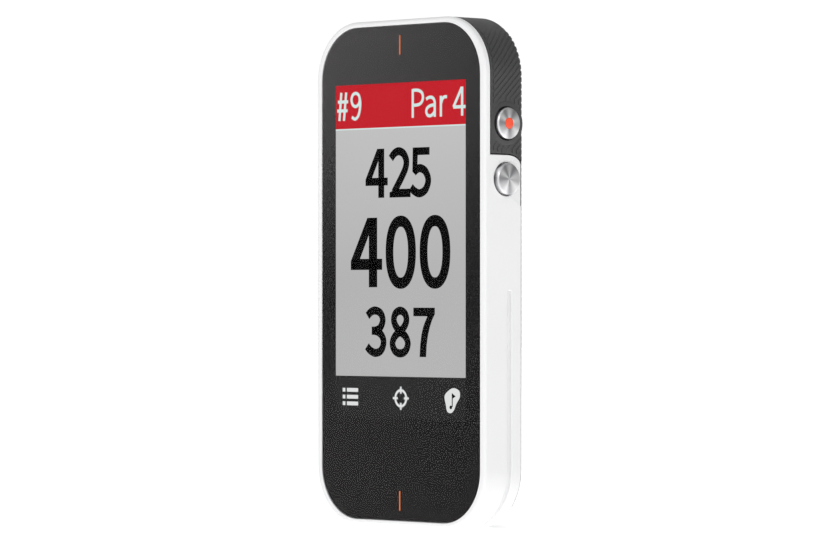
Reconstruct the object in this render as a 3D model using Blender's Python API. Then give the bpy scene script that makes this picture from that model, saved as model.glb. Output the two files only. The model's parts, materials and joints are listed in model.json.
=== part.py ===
"""A golf launch monitor: a hand-held case with a touch display, two side buttons and a radar in its back.

Lengths are in millimetres and angles in degrees, and MM turns millimetres into Blender's metres.
The screen faces -Y, the buttons are on +X, and the case stands on its base at z = 0.
"depth" runs from the front face towards the back, and y is depth less half the case's depth."""

import math

import bmesh
import bpy
from mathutils import Matrix, Vector

MM = 0.001

# Case
WIDTH, HEIGHT, DEPTH = 60.5, 124.0, 26.0
CORNER = 14.4  # radius of the outline's corners
SIDE_DEPTH = 12.45  # where the flat side wall ends and the back starts to slope in
FRONT_ROUND = 0.5
EDGE_ROUND = 1.2  # radius between the side wall and the sloping back
BACK_ROUND = 6.0  # radius between the sloping back and its flat middle
BACK_SLOPE = 48.0  # how far the back turns away from the side wall
FOOT_DEPTH = 18.5  # how far back the flat base reaches
FOOT_ROUND = 7.5
WALL = 1.8
ARC_STEPS = 8
GAP = 0.3

# Seam between the front and the rear housing: it steps from the front edge to the rear one
SEAM_FRONT = 1.8
SEAM_HEIGHT = 90.3
SEAM_REAR = 12.3
SEAM_BEND_DEPTH, SEAM_BEND_DROP = 5.0, 2.4

# Front: the glass and the ledge that it is glued to
GLASS_HALF, GLASS_LOW, GLASS_HIGH, GLASS_CORNER = 28.29, 1.55, 122.49, 12.85
GLASS_DEPTHS = (0.05, 1.15)
GLASS_CLEARANCE = 0.15
LEDGE_FRONT, LEDGE_BACK = 1.45, 2.4
WINDOW_HALF, WINDOW_LOW, WINDOW_HIGH, WINDOW_CORNER = 25.1, 20.0, 113.0, 1.5

# Display stack behind the glass, each layer between two depths
TAPE_DEPTHS, SENSOR_DEPTHS, PANEL_DEPTHS = (1.2, 1.4), (1.3, 1.75), (1.95, 3.05)
BACKLIGHT_DEPTHS, TRAY_DEPTHS = (3.25, 4.7), (2.1, 5.25)
PANEL_HALF, PANEL_LOW, PANEL_HIGH = 24.0, 22.6, 110.6
TRAY_WALL, TRAY_CLEARANCE = 0.4, 0.1

# Side buttons, by the height of each
BUTTONS = {"upper": 97.9, "lower": 84.5}
BUTTON_DEPTH = 7.2
BUTTON_RADIUS, BUTTON_PROUD, BUTTON_SUNK, BUTTON_CHAMFER = 3.8, 1.05, 1.0, 0.25
WELL_RADIUS, WELL_SUNK = 4.1, 1.5
BOSS_RADIUS, BOSS_INNER = 3.6, 25.3
STEM_RADIUS, STEM_END, STEM_NECK_RADIUS = 1.5, 24.0, 1.1
CLIP_INNER, CLIP_OUTER, CLIP_RADIUS = 24.8, 25.15, 1.9  # clears the display tray when the button is pressed
SEAL_POCKET_RADIUS, SEAL_POCKET_INNER = 2.6, 26.3
DOT_RADIUS, DOT_THICK = 1.4, 0.5
SCOOP_RADIUS, SCOOP_FLOOR_RADIUS, SCOOP_SUNK = 5.6, 4.6, 0.5

# Side grooves for a slide-on holder
GROOVE_DEPTH, GROOVE_RADIUS, GROOVE_TOP, GROOVE_END_ANGLE = 8.2, 0.95, 58.0, 72.0

# Case screws: (x, z) of each, on both sides
SCREW_PLACES = ((-20.0, 11.0), (20.0, 11.0), (-18.0, 116.5), (18.0, 116.5))
FRONT_POST_RADIUS, FRONT_POST_END = 2.6, 8.0
REAR_POST_RADIUS, SCREW_SEAT = 3.2, 11.3
COUNTERBORE_RADIUS, SCREW_HOLE_RADIUS, INSERT_HOLE_RADIUS = 2.3, 1.1, 1.5

# Chassis and boards
CHASSIS_INSET, CHASSIS_RIM, CHASSIS_FRONT, CHASSIS_BACK = 3.3, 1.1, 5.5, 6.5
BOARD_FRONT, BOARD_BACK, BOARD_HALF = 8.2, 9.2, 18.2
BOARD_LOW, BOARD_HIGH = 17.0, 108.0
BOARD_SCREWS = ((-15.5, 20.0), (15.5, 20.0), (-15.5, 105.0), (15.5, 105.0))
RADAR_FRONT, RADAR_HALF, RADAR_LOW, RADAR_HIGH = 16.0, 15.0, 90.5, 112.0
RADAR_SCREWS = ((-12.0, 109.0), (12.0, 109.0))

# Charging port, deep in the back
PORT_HEIGHT = 18.5
PORT_HALF_WIDTH, PORT_HALF_HEIGHT, PORT_FLOOR = 6.2, 4.1, 17.5
PORT_WALL = 1.2
FLAP_HALF, FLAP_LOW, FLAP_HINGE, FLAP_THICK = 7.1, 13.4, 25.0, 1.3
FLAP_SEAT, FLAP_SEAT_WALL = 1.7, 1.4
ANCHOR_TOP = 29.0
VENT_HEIGHT, VENT_RADIUS = 34.0, 0.6


def depth_y(depth):
    return depth - DEPTH / 2


# ---- Materials -----------------------------------------------------------------------------------


def material(name, colour, roughness, metallic=0.0, transmission=0.0):
    made = bpy.data.materials.new(name)
    made.use_nodes = True
    shader = made.node_tree.nodes["Principled BSDF"]
    shader.inputs["Base Color"].default_value = (*colour, 1.0)
    shader.inputs["Roughness"].default_value = roughness
    shader.inputs["Metallic"].default_value = metallic
    shader.inputs["Transmission Weight"].default_value = transmission
    made.diffuse_color = (*colour, 1.0)
    return made


# ---- Meshes --------------------------------------------------------------------------------------


def add(name, bm, finish, at=(0, 0, 0), parent=None):
    """An object from a bmesh in millimetres, whose origin is at the point given, also in millimetres."""
    bmesh.ops.recalc_face_normals(bm, faces=bm.faces)
    mesh = bpy.data.meshes.new(name)
    bm.to_mesh(mesh)
    bm.free()
    mesh.transform(Matrix.Translation(-Vector(at)))
    mesh.transform(Matrix.Scale(MM, 4))
    mesh.shade_smooth()
    mesh.set_sharp_from_angle(angle=math.radians(30))
    obj = bpy.data.objects.new(name, mesh)
    bpy.context.scene.collection.objects.link(obj)
    obj.location = Vector(at) * MM
    if parent is not None:
        obj.parent = parent
        obj.location -= parent.location
    if finish is None:
        obj.hide_render = True
        obj.display_type = "WIRE"
    else:
        mesh.materials.append(finish)
    return obj


def guide(name, bm):
    """A shape that only cuts or joins others."""
    return add("guide_" + name, bm, None)


def boolean(obj, operation, other):
    step = obj.modifiers.new(f"{operation.lower()} {other.name}", "BOOLEAN")
    step.operation = operation
    step.solver = "EXACT"
    step.object = other
    return obj


def cut(obj, *cutters):
    for cutter in cutters:
        boolean(obj, "DIFFERENCE", cutter)
    return obj


def axis_empty(name, at):
    empty = bpy.data.objects.new(name, None)
    bpy.context.scene.collection.objects.link(empty)
    empty.location = Vector(at) * MM
    empty.empty_display_size = 3 * MM
    return empty


def block(x, depth, z, bm=None):
    """A box between pairs of limits in x, depth and z, added to bm where one is given."""
    bm = bm or bmesh.new()
    size = [high - low for low, high in (x, depth, z)]
    middle = Vector((sum(x) / 2, depth_y(sum(depth) / 2), sum(z) / 2))
    bmesh.ops.create_cube(bm, size=1.0, matrix=Matrix.Translation(middle) @ Matrix.Diagonal((*size, 1.0)))
    return bm


def bevelled_block(x, depth, z, width):
    bm = block(x, depth, z)
    bmesh.ops.bevel(bm, geom=bm.edges[:], offset=width, segments=1, affect="EDGES")
    return bm


def rod(start, end, radius, bm=None, segments=32, end_radius=None):
    """A round bar or cone between two points (x, y, z), added to bm where one is given."""
    bm = bm or bmesh.new()
    start, end = Vector(start), Vector(end)
    turn = (end - start).to_track_quat("Z", "Y").to_matrix().to_4x4()
    bmesh.ops.create_cone(bm, cap_ends=True, segments=segments, radius1=radius,
                          radius2=radius if end_radius is None else end_radius,
                          depth=(end - start).length, matrix=Matrix.Translation((start + end) / 2) @ turn)
    return bm


def rods_through(places, first_depth, last_depth, radius, segments=24):
    bm = bmesh.new()
    for x, z in places:
        rod((x, depth_y(first_depth), z), (x, depth_y(last_depth), z), radius, bm, segments)
    return bm


def turned(profile, axis_point, axis, segments=32):
    """A solid of revolution. The profile is a closed loop of (distance along the axis, radius)."""
    bm = bmesh.new()
    rings = []
    for along, radius in profile:
        count = segments if radius > 0 else 1
        angles = [2 * math.pi * i / segments for i in range(count)]
        rings.append([bm.verts.new((radius * math.cos(a), radius * math.sin(a), along)) for a in angles])
    for first, second in zip(rings, rings[1:] + rings[:1]):
        for i in range(segments):
            j = (i + 1) % segments
            corners = [first[i % len(first)], first[j % len(first)],
                       second[j % len(second)], second[i % len(second)]]
            corners = list(dict.fromkeys(corners))
            if len(corners) > 2:
                bm.faces.new(corners)
    turn = Vector(axis).to_track_quat("Z", "Y").to_matrix().to_4x4()
    bm.transform(Matrix.Translation(axis_point) @ turn)
    return bm


def ring_profile(centre_along, centre_radius, thickness, steps=10):
    """The round section of an O-ring."""
    angles = [2 * math.pi * i / steps for i in range(steps)]
    return [(centre_along + thickness * math.sin(a), centre_radius + thickness * math.cos(a)) for a in angles]


def outline(half_width, low, high, radius, steps=ARC_STEPS):
    """Points (x, z) of an upright rectangle with round corners."""
    points = []
    for side, z, start in ((1, low + radius, -90), (1, high - radius, 0),
                           (-1, high - radius, 90), (-1, low + radius, 180)):
        for step in range(steps + 1):
            angle = math.radians(start + 90 * step / steps)
            points.append((side * (half_width - radius) + radius * math.cos(angle),
                           z + radius * math.sin(angle)))
    return points


def loft(sections):
    """A closed mesh through outlines with the same number of points, each at its own depth."""
    bm = bmesh.new()
    rings = [[bm.verts.new((x, depth_y(depth), z)) for x, z in points] for depth, points in sections]
    for near, far in zip(rings, rings[1:]):
        for i in range(len(near)):
            j = (i + 1) % len(near)
            bm.faces.new((near[i], near[j], far[j], far[i]))
    bm.faces.new(rings[0])
    bm.faces.new(rings[-1][::-1])
    return bm


def plate(points, first_depth, last_depth):
    return loft(((first_depth, points), (last_depth, points)))


def side_profile_prism(points, half_width):
    """A prism along X whose section is given as (depth, z)."""
    bm = bmesh.new()
    ends = [[bm.verts.new((x, depth_y(depth), z)) for depth, z in points] for x in (-half_width, half_width)]
    bm.faces.new(ends[0])
    bm.faces.new(ends[1][::-1])
    for i in range(len(points)):
        j = (i + 1) % len(points)
        bm.faces.new((ends[0][i], ends[0][j], ends[1][j], ends[1][i]))
    return bm


def tube(points, radius, segments=12):
    """A round bar along points, with flat ends square to its run."""
    bm = bmesh.new()
    rings = []
    for i, point in enumerate(points):
        before, after = points[max(i - 1, 0)], points[min(i + 1, len(points) - 1)]
        run = (Vector(after) - Vector(before)).normalized()
        across = run.cross(Vector((0, 1, 0))).normalized()
        other = run.cross(across)
        angles = [2 * math.pi * k / segments for k in range(segments)]
        rings.append([bm.verts.new(Vector(point) + radius * (across * math.cos(a) + other * math.sin(a)))
                      for a in angles])
    for near, far in zip(rings, rings[1:]):
        for k in range(segments):
            j = (k + 1) % segments
            bm.faces.new((near[k], near[j], far[j], far[k]))
    bm.faces.new(rings[0])
    bm.faces.new(rings[-1][::-1])
    return bm


# ---- The case's shape ----------------------------------------------------------------------------


def case_profile(offset):
    """(depth, inset) down the side and over the back, moved inwards from the outer skin by offset."""
    slope = math.radians(BACK_SLOPE)
    edge_depth = SIDE_DEPTH - EDGE_ROUND * math.sin(slope)
    line = EDGE_ROUND + edge_depth * math.sin(slope) - EDGE_ROUND * math.cos(slope) - offset
    points = []
    if offset < EDGE_ROUND:
        radius = EDGE_ROUND - offset
        for step in range(4):
            turn = slope * step / 3
            points.append((edge_depth + radius * math.sin(turn), EDGE_ROUND - radius * math.cos(turn)))
    else:
        points.append(((line + offset * math.cos(slope)) / math.sin(slope), offset))
    centre_depth = DEPTH - BACK_ROUND
    radius = BACK_ROUND - offset
    start_depth = centre_depth + radius * math.sin(slope)
    start_inset = (start_depth * math.sin(slope) - line) / math.cos(slope)
    for step in range(5):
        turn = slope + (math.pi / 2 - slope) * step / 4
        points.append((centre_depth + radius * math.sin(turn),
                       start_inset + radius * (math.cos(slope) - math.cos(turn))))
    return points


def inset_at(depth, offset):
    points = case_profile(offset)
    if depth <= points[0][0]:
        return points[0][1]
    for (d0, i0), (d1, i1) in zip(points, points[1:]):
        if depth <= d1:
            return i0 + (i1 - i0) * (depth - d0) / (d1 - d0)
    return points[-1][1]


def base_at(depth, offset):
    """Height of the base at this depth."""
    if depth <= FOOT_DEPTH:
        return offset
    radius = FOOT_ROUND - offset
    return FOOT_ROUND - math.sqrt(max(radius**2 - (depth - FOOT_DEPTH) ** 2, 0.0))


def case_outline(depth, offset, front_inset=0.0):
    inset = inset_at(depth, offset) + front_inset
    half_width = WIDTH / 2 - inset
    radius = min(CORNER - offset - front_inset, half_width - 0.6)
    return outline(half_width, base_at(depth, offset) + front_inset, HEIGHT - inset, radius)


def case_solid(offset, first_depth):
    """The case's outer shape, or the same shape moved inwards by offset."""
    depths = {depth for depth, _ in case_profile(offset)}
    depths |= {FOOT_DEPTH + (DEPTH - offset - FOOT_DEPTH) * step / 4 for step in range(4)}
    sections = []
    if first_depth <= 0:
        for step in range(3):
            turn = math.pi / 2 * step / 3
            rounding = FRONT_ROUND * (1 - math.sin(turn))
            sections.append((FRONT_ROUND * (1 - math.cos(turn)), case_outline(0, offset, rounding)))
        first_depth = FRONT_ROUND
    sections.append((first_depth, case_outline(first_depth, offset)))
    sections += [(depth, case_outline(depth, offset)) for depth in sorted(depths) if depth > first_depth]
    return loft(sections)


def seam_curve(shift):
    """(depth, z) of the seam, from the rear edge to the front, moved out of the front housing by shift."""
    points = []
    for step in range(9):
        turn = math.pi / 2 * step / 8
        points.append((SEAM_REAR - SEAM_BEND_DEPTH + (SEAM_BEND_DEPTH + shift) * math.cos(turn),
                       SEAM_HEIGHT - SEAM_BEND_DROP + (SEAM_BEND_DROP + shift) * math.sin(turn)))
    return points


def beyond_seam(shift, front, back, past=5.0):
    """Section of everything in front of the seam, between two depths."""
    above, below = HEIGHT + past, -past
    return [(front, below), (back, below), *seam_curve(shift), (SEAM_FRONT + shift, SEAM_HEIGHT + shift),
            (SEAM_FRONT + shift, above), (front, above)]


# ---- Front housing and display -------------------------------------------------------------------


def standing_blocks():
    """What stands in the hollow of the housings: button bosses, radar posts and the port's well."""
    bosses = bmesh.new()
    y = depth_y(BUTTON_DEPTH)
    for z in BUTTONS.values():
        rod((BOSS_INNER, y, z), (WIDTH / 2, y, z), BOSS_RADIUS, bosses)
    radar_posts = rods_through(RADAR_SCREWS, RADAR_FRONT + 1.3, DEPTH, 1.8, 16)
    half_width, half_height = PORT_HALF_WIDTH + PORT_WALL, PORT_HALF_HEIGHT + PORT_WALL
    port = block((-half_width, half_width), (PORT_FLOOR - PORT_WALL, DEPTH),
                 (PORT_HEIGHT - half_height, PORT_HEIGHT + half_height))
    half_width = FLAP_HALF + FLAP_SEAT_WALL
    flap_block = block((-half_width, half_width), (DEPTH - FLAP_SEAT - FLAP_SEAT_WALL, DEPTH),
                       (FLAP_LOW - FLAP_SEAT_WALL - GAP, ANCHOR_TOP + FLAP_SEAT_WALL + GAP))
    return [guide("button_bosses", bosses), guide("radar_posts", radar_posts),
            guide("port_block", port), guide("flap_block", flap_block)]


def hollow(name, first_depth, blocks):
    return cut(guide(name, case_solid(WALL, first_depth)), *blocks)


def button_cutters():
    """The buttons' wells, O-ring pockets and stem holes, and the scoop round the lower one."""
    wells, pockets, holes = bmesh.new(), bmesh.new(), bmesh.new()
    y, surface = depth_y(BUTTON_DEPTH), WIDTH / 2
    for z in BUTTONS.values():
        rod((surface - WELL_SUNK, y, z), (surface + 2, y, z), WELL_RADIUS, wells)
        rod((SEAL_POCKET_INNER, y, z), (surface, y, z), SEAL_POCKET_RADIUS, pockets, 24)
        rod((BOSS_INNER - 1, y, z), (surface, y, z), STEM_RADIUS + GAP, holes, 24)
    z = BUTTONS["lower"]
    scoop = rod((surface - SCOOP_SUNK, y, z), (surface + SCOOP_SUNK, y, z), SCOOP_FLOOR_RADIUS,
                end_radius=2 * SCOOP_RADIUS - SCOOP_FLOOR_RADIUS)
    return [guide("wells", wells), guide("pockets", pockets),
            guide("stem_holes", holes), guide("scoop", scoop)]


def groove_cutter(side):
    """A round bar with a ball at its top, down one side and round the lower corner."""
    centre_x, y = WIDTH / 2 - CORNER, depth_y(GROOVE_DEPTH)
    points = [(side * WIDTH / 2, y, GROOVE_TOP), (side * WIDTH / 2, y, CORNER)]
    for step in range(1, 9):
        angle = math.radians(GROOVE_END_ANGLE * step / 8)
        points.append((side * (centre_x + CORNER * math.cos(angle)), y, CORNER * (1 - math.sin(angle))))
    ball = bmesh.new()
    bmesh.ops.create_uvsphere(ball, u_segments=12, v_segments=8, radius=GROOVE_RADIUS * 0.99,
                              matrix=Matrix.Translation(points[0]))
    return boolean(guide("groove_run", tube(points, GROOVE_RADIUS)), "UNION", guide("groove_end", ball))


def glass_plate(depths, grow=0.0):
    """A plate of the glass's outline, made larger all round by grow."""
    points = outline(GLASS_HALF + grow, GLASS_LOW - grow, GLASS_HIGH + grow, GLASS_CORNER + grow)
    return plate(points, *depths)


def front_housing(finish, blocks, button_cuts):
    obj = add("front_housing", case_solid(0, 0), finish)
    region = side_profile_prism(beyond_seam(0, -2, SEAM_REAR), WIDTH)
    glass_pocket = glass_plate((-1, LEDGE_FRONT), GLASS_CLEARANCE)
    window = plate(outline(WINDOW_HALF, WINDOW_LOW, WINDOW_HIGH, WINDOW_CORNER, 4), 0, LEDGE_BACK + 1)
    inserts = rods_through(SCREW_PLACES, 4.5, FRONT_POST_END + 1, INSERT_HOLE_RADIUS, 16)
    posts = rods_through(SCREW_PLACES, LEDGE_FRONT + 0.2, FRONT_POST_END, FRONT_POST_RADIUS, 20)
    boolean(obj, "INTERSECT", guide("front_region", region))
    cut(obj, hollow("front_hollow", LEDGE_BACK, blocks))
    boolean(obj, "UNION", guide("front_posts", posts))
    return cut(obj, guide("glass_pocket", glass_pocket), guide("window", window),
               guide("insert_holes", inserts), *button_cuts, groove_cutter(-1), groove_cutter(1))


def rear_housing(finish, blocks, button_cuts):
    obj = add("rear_housing", case_solid(0, 0), finish)
    region = side_profile_prism(beyond_seam(GAP, -2, SEAM_REAR + GAP), WIDTH)
    seats = rods_through(SCREW_PLACES, SCREW_SEAT, DEPTH + 2, COUNTERBORE_RADIUS)
    holes = rods_through(SCREW_PLACES, FRONT_POST_END, SCREW_SEAT + 1, SCREW_HOLE_RADIUS, 16)
    radar_holes = rods_through(RADAR_SCREWS, RADAR_FRONT, DEPTH - 5, 0.7, 12)
    well = block((-PORT_HALF_WIDTH, PORT_HALF_WIDTH), (PORT_FLOOR, DEPTH + 1),
                 (PORT_HEIGHT - PORT_HALF_HEIGHT, PORT_HEIGHT + PORT_HALF_HEIGHT))
    slot = block((-4.1, 4.1), (PORT_FLOOR - 3, PORT_FLOOR + 1), (PORT_HEIGHT - 1.65, PORT_HEIGHT + 1.65))
    seat = block((-FLAP_HALF - GAP, FLAP_HALF + GAP), (DEPTH - FLAP_SEAT, DEPTH + 1),
                 (FLAP_LOW - GAP, ANCHOR_TOP + GAP))
    vent = rods_through(((0, VENT_HEIGHT),), DEPTH - 4, DEPTH + 1, VENT_RADIUS, 12)
    posts = guide("rear_posts", rods_through(SCREW_PLACES, FRONT_POST_END + GAP, DEPTH, REAR_POST_RADIUS))
    boolean(posts, "INTERSECT", guide("post_limit", case_solid(0.4, LEDGE_BACK)))
    cut(obj, guide("rear_region", region), hollow("rear_hollow", SEAM_FRONT - 1.0, blocks))
    boolean(obj, "UNION", posts)
    return cut(obj, *button_cuts, guide("screw_seats", seats),
               guide("screw_holes", holes), guide("radar_screw_holes", radar_holes),
               guide("port_well", well), guide("port_slot", slot), guide("flap_seat", seat),
               guide("vent_hole", vent))


def case_seal(finish):
    """The gasket loop just inside the walls, along the whole seam."""
    obj = add("case_seal", case_solid(WALL + 0.2, LEDGE_BACK + GAP), finish)
    inside = case_solid(WALL + 1.2, 0.6)
    front, rear, above, below = 3.3, 13.6, HEIGHT, -2
    strip = [(SEAM_REAR, below), (SEAM_REAR, SEAM_HEIGHT - SEAM_BEND_DROP), *seam_curve(-0.6)[1:],
             (LEDGE_BACK, SEAM_HEIGHT - 0.6), (LEDGE_BACK, above + 2), (front, above + 2)]
    strip += [(front, SEAM_HEIGHT + 0.9), *seam_curve(0.9)[::-1], (rear, SEAM_HEIGHT - SEAM_BEND_DROP),
              (rear, below)]
    boolean(obj, "INTERSECT", guide("seal_strip", side_profile_prism(strip, WIDTH)))
    return cut(obj, guide("seal_inside", inside))


def panel_box(grow, depths):
    """A box of the display panel's outline, made larger all round by grow."""
    return block((-PANEL_HALF - grow, PANEL_HALF + grow), depths, (PANEL_LOW - grow, PANEL_HIGH + grow))


def display_stack(finishes):
    """Glass, adhesive, touch sensor, panel, backlight and the metal tray behind them."""
    add("cover_glass", glass_plate(GLASS_DEPTHS), finishes["glass"])
    tape = add("glass_adhesive", glass_plate(TAPE_DEPTHS, -0.4), finishes["adhesive"])
    open_area = outline(WINDOW_HALF + GAP, WINDOW_LOW - GAP, WINDOW_HIGH + GAP, WINDOW_CORNER, 4)
    cut(tape, guide("adhesive_window", plate(open_area, 0.5, 2)))
    add("touch_sensor", block((-PANEL_HALF - 0.6, PANEL_HALF + 0.6), SENSOR_DEPTHS, (21.0, 112.0)),
        finishes["clear_film"])
    panel_x, panel_z = (-PANEL_HALF, PANEL_HALF), (PANEL_LOW, PANEL_HIGH)
    add("display_panel", block(panel_x, PANEL_DEPTHS, panel_z), finishes["display"])
    add("backlight_unit", block(panel_x, BACKLIGHT_DEPTHS, panel_z), finishes["backlight"])
    tray = add("display_tray", panel_box(TRAY_WALL, TRAY_DEPTHS), finishes["steel"])
    inside = panel_box(TRAY_CLEARANCE, (0.0, TRAY_DEPTHS[1] - TRAY_WALL))
    cut(tray, guide("tray_inside", inside))
    ribbon = side_profile_prism([(3.4, 21.9), (3.4, 19.2), (7.5, 19.2), (7.5, 26.0), (7.25, 26.0),
                                 (7.25, 19.45), (3.65, 19.45), (3.65, 21.9)], 6.0)
    add("display_flex", ribbon, finishes["polyimide"])
    add("display_connector", block((-7.5, 7.5), (7.6, 8.1), (23.0, 26.5)), finishes["dark_plastic"])


def chassis(finish):
    """The frame that carries the display in front and the boards behind."""
    inner = CHASSIS_INSET + CHASSIS_RIM
    obj = add("chassis", plate(case_outline(2, CHASSIS_INSET), 2.75, CHASSIS_BACK), finish)
    hollow = plate(case_outline(2, inner), 2, CHASSIS_FRONT)
    standoffs = rods_through(BOARD_SCREWS, CHASSIS_BACK - 0.3, BOARD_FRONT - GAP, 1.8, 16)
    drilled = rods_through(BOARD_SCREWS, CHASSIS_FRONT - 1, BOARD_FRONT, 0.9, 12)
    clearance = rods_through(SCREW_PLACES, 1, 10, FRONT_POST_RADIUS + GAP + 0.1)
    button_bay = block((19.4, WIDTH / 2), (0, 20), (76.5, 105.5))
    slot = block((-7.0, 7.0), (0, 20), (17.6, 21.2))
    antenna_bay = block((-8.0, 8.0), (0, 20), (112.0, HEIGHT))
    boolean(obj, "UNION", guide("standoffs", standoffs))
    return cut(obj, guide("chassis_hollow", hollow), guide("standoff_holes", drilled),
               guide("post_clearance", clearance), guide("button_bay", button_bay),
               guide("flex_slot", slot), guide("antenna_bay", antenna_bay))


# ---- Buttons -------------------------------------------------------------------------------------


def button(which, finishes):
    """A cap on a stem, its O-ring and its retaining clip, which slide in together along X."""
    z, surface = BUTTONS[which], WIDTH / 2
    y = depth_y(BUTTON_DEPTH)
    centre = (surface, y, z)
    axis = axis_empty(which + "_button_axis", centre)
    face, back = BUTTON_PROUD, -BUTTON_SUNK
    stem_end = STEM_END - surface
    clip_back, clip_front = CLIP_INNER - surface, CLIP_OUTER - surface
    neck_low, neck_high = clip_back - 0.1, clip_front + 0.1
    head = [(face, 0), (face, BUTTON_RADIUS - BUTTON_CHAMFER), (face - BUTTON_CHAMFER, BUTTON_RADIUS),
            (back, BUTTON_RADIUS)]
    if which == "upper":
        floor = face - DOT_THICK - 0.1
        head[:1] = [(floor, 0), (floor, DOT_RADIUS + 0.1), (face, DOT_RADIUS + 0.1)]
        dot = turned([(floor + 0.05, 0), (floor + 0.05, DOT_RADIUS), (face - 0.03, DOT_RADIUS),
                      (face - 0.03, 0)], centre, (1, 0, 0), 24)
        add("upper_button_dot", dot, finishes["orange"], centre, axis)
    profile = [*head, (back, STEM_RADIUS), (neck_high, STEM_RADIUS), (neck_high, STEM_NECK_RADIUS),
               (neck_low, STEM_NECK_RADIUS), (neck_low, STEM_RADIUS), (stem_end, STEM_RADIUS), (stem_end, 0)]
    add(which + "_button", turned(profile, centre, (1, 0, 0)), finishes["aluminium"], centre, axis)
    seal = turned(ring_profile(27.4 - surface, 2.05, 0.4), centre, (1, 0, 0), 24)
    add(which + "_button_seal", seal, finishes["rubber"], centre, axis)
    clip_hole = STEM_NECK_RADIUS + 0.1
    clip = turned([(clip_back, clip_hole), (clip_front, clip_hole), (clip_front, CLIP_RADIUS),
                   (clip_back, CLIP_RADIUS)], centre, (1, 0, 0), 24)
    add(which + "_button_clip", clip, finishes["steel"], centre, axis)


def switch(which, finishes):
    """The switch behind a button: a case on the key board and a plunger that the stem pushes."""
    z, y = BUTTONS[which], depth_y(BUTTON_DEPTH)
    body = add(which + "_switch_body",
               block((21.0, 22.9), (BUTTON_DEPTH - 1.7, BUTTON_DEPTH + 1.9), (z - 2.2, z + 2.2)),
               finishes["steel"])
    cut(body, guide(which + "_plunger_hole", rod((21.7, y, z), (24, y, z), 1.15, segments=20)))
    centre = (22.4, y, z)
    axis = axis_empty(which + "_plunger_axis", centre)
    add(which + "_switch_plunger", rod(centre, (23.7, y, z), 0.95, segments=20), finishes["dark_plastic"],
        centre, axis)


# ---- Boards, battery and port --------------------------------------------------------------------


def boards(finishes):
    main = add("main_board", block((-BOARD_HALF, BOARD_HALF), (BOARD_FRONT, BOARD_BACK),
                                   (BOARD_LOW, BOARD_HIGH)), finishes["board"])
    cut(main, guide("board_holes", rods_through(BOARD_SCREWS, 7, 11, 1.0, 12)))
    add("processor_chip", block((-15.0, -5.0), (9.4, 10.5), (88.0, 98.0)), finishes["dark_plastic"])
    add("rf_shield_can", bevelled_block((-2.0, 14.0), (9.4, 11.4), (87.5, 101.5), 0.3), finishes["steel"])
    add("buzzer", turned([(0, 0), (0, 4.5), (2.4, 4.5), (2.4, 1.0), (1.9, 1.0), (1.9, 0)],
                         (12.6, depth_y(9.5), 25.8), (0, 1, 0), 24), finishes["dark_plastic"])
    add("key_board", block((19.8, 20.7), (5.6, 11.0), (79.0, 103.2)), finishes["board"])
    add("gps_bracket", block((-7.0, 7.0), (3.3, 13.4), (112.4, 113.4)), finishes["steel"])
    add("gps_antenna", bevelled_block((-5.0, 5.0), (3.4, 13.3), (113.7, 117.6), 0.3), finishes["ceramic"])
    radar = add("radar_board", block((-RADAR_HALF, RADAR_HALF), (RADAR_FRONT, RADAR_FRONT + 1.0),
                                     (RADAR_LOW, RADAR_HIGH)), finishes["board"])
    cut(radar, guide("radar_board_holes", rods_through(RADAR_SCREWS, 15, 18, 0.85, 12)))
    add("radar_antenna_panel", block((-9.5, 9.5), (RADAR_FRONT + 1.3, RADAR_FRONT + 2.1), (91.5, 111.0)),
        finishes["gold"])
    add("radar_shield_can", bevelled_block((-8.0, 8.0), (13.4, 15.7), (92.0, 106.0), 0.3), finishes["steel"])


def power(finishes):
    add("battery", bevelled_block((-17.0, 17.0), (11.5, 19.3), (32.0, 84.0), 1.0), finishes["battery"])
    tray = add("battery_tray", block((-17.9, 17.9), (10.4, 14.5), (31.2, 84.8)), finishes["dark_plastic"])
    cut(tray, guide("battery_tray_inside", block((-17.2, 17.2), (11.2, 20), (31.8, 84.2))))
    add("battery_pad", bevelled_block((-11.0, 11.0), (19.6, 21.2), (42.0, 76.0), 0.4), finishes["foam"])
    add("battery_connector", block((-15.0, -9.0), (9.4, 12.0), (22.6, 26.0)), finishes["cream_plastic"])
    lead = [(-12.0, depth_y(10.8), 26.3), (-12.0, depth_y(11.2), 28.2), (-11.6, depth_y(12.8), 29.6),
            (-10.2, depth_y(15.0), 29.9), (-8.4, depth_y(16.6), 30.3), (-8.0, depth_y(17.2), 31.7)]
    add("battery_lead", tube(lead, 0.7, 8), finishes["red_wire"])


def charging_port(finishes):
    z = PORT_HEIGHT
    add("usb_board", block((-7.6, 7.6), (11.2, 12.2), (12.6, 21.4)), finishes["board"])
    shell = add("usb_receptacle", bevelled_block((-3.75, 3.75), (12.4, 17.2), (z - 1.3, z + 1.3), 0.25),
                finishes["steel"])
    mouth = guide("usb_mouth", block((-3.45, 3.45), (13.2, 18), (z - 1.0, z + 1.0)))
    tongue = guide("usb_tongue", block((-2.4, 2.4), (13.0, 16.6), (z - 0.2, z + 0.4)))
    boolean(cut(shell, mouth), "UNION", tongue)


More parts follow.
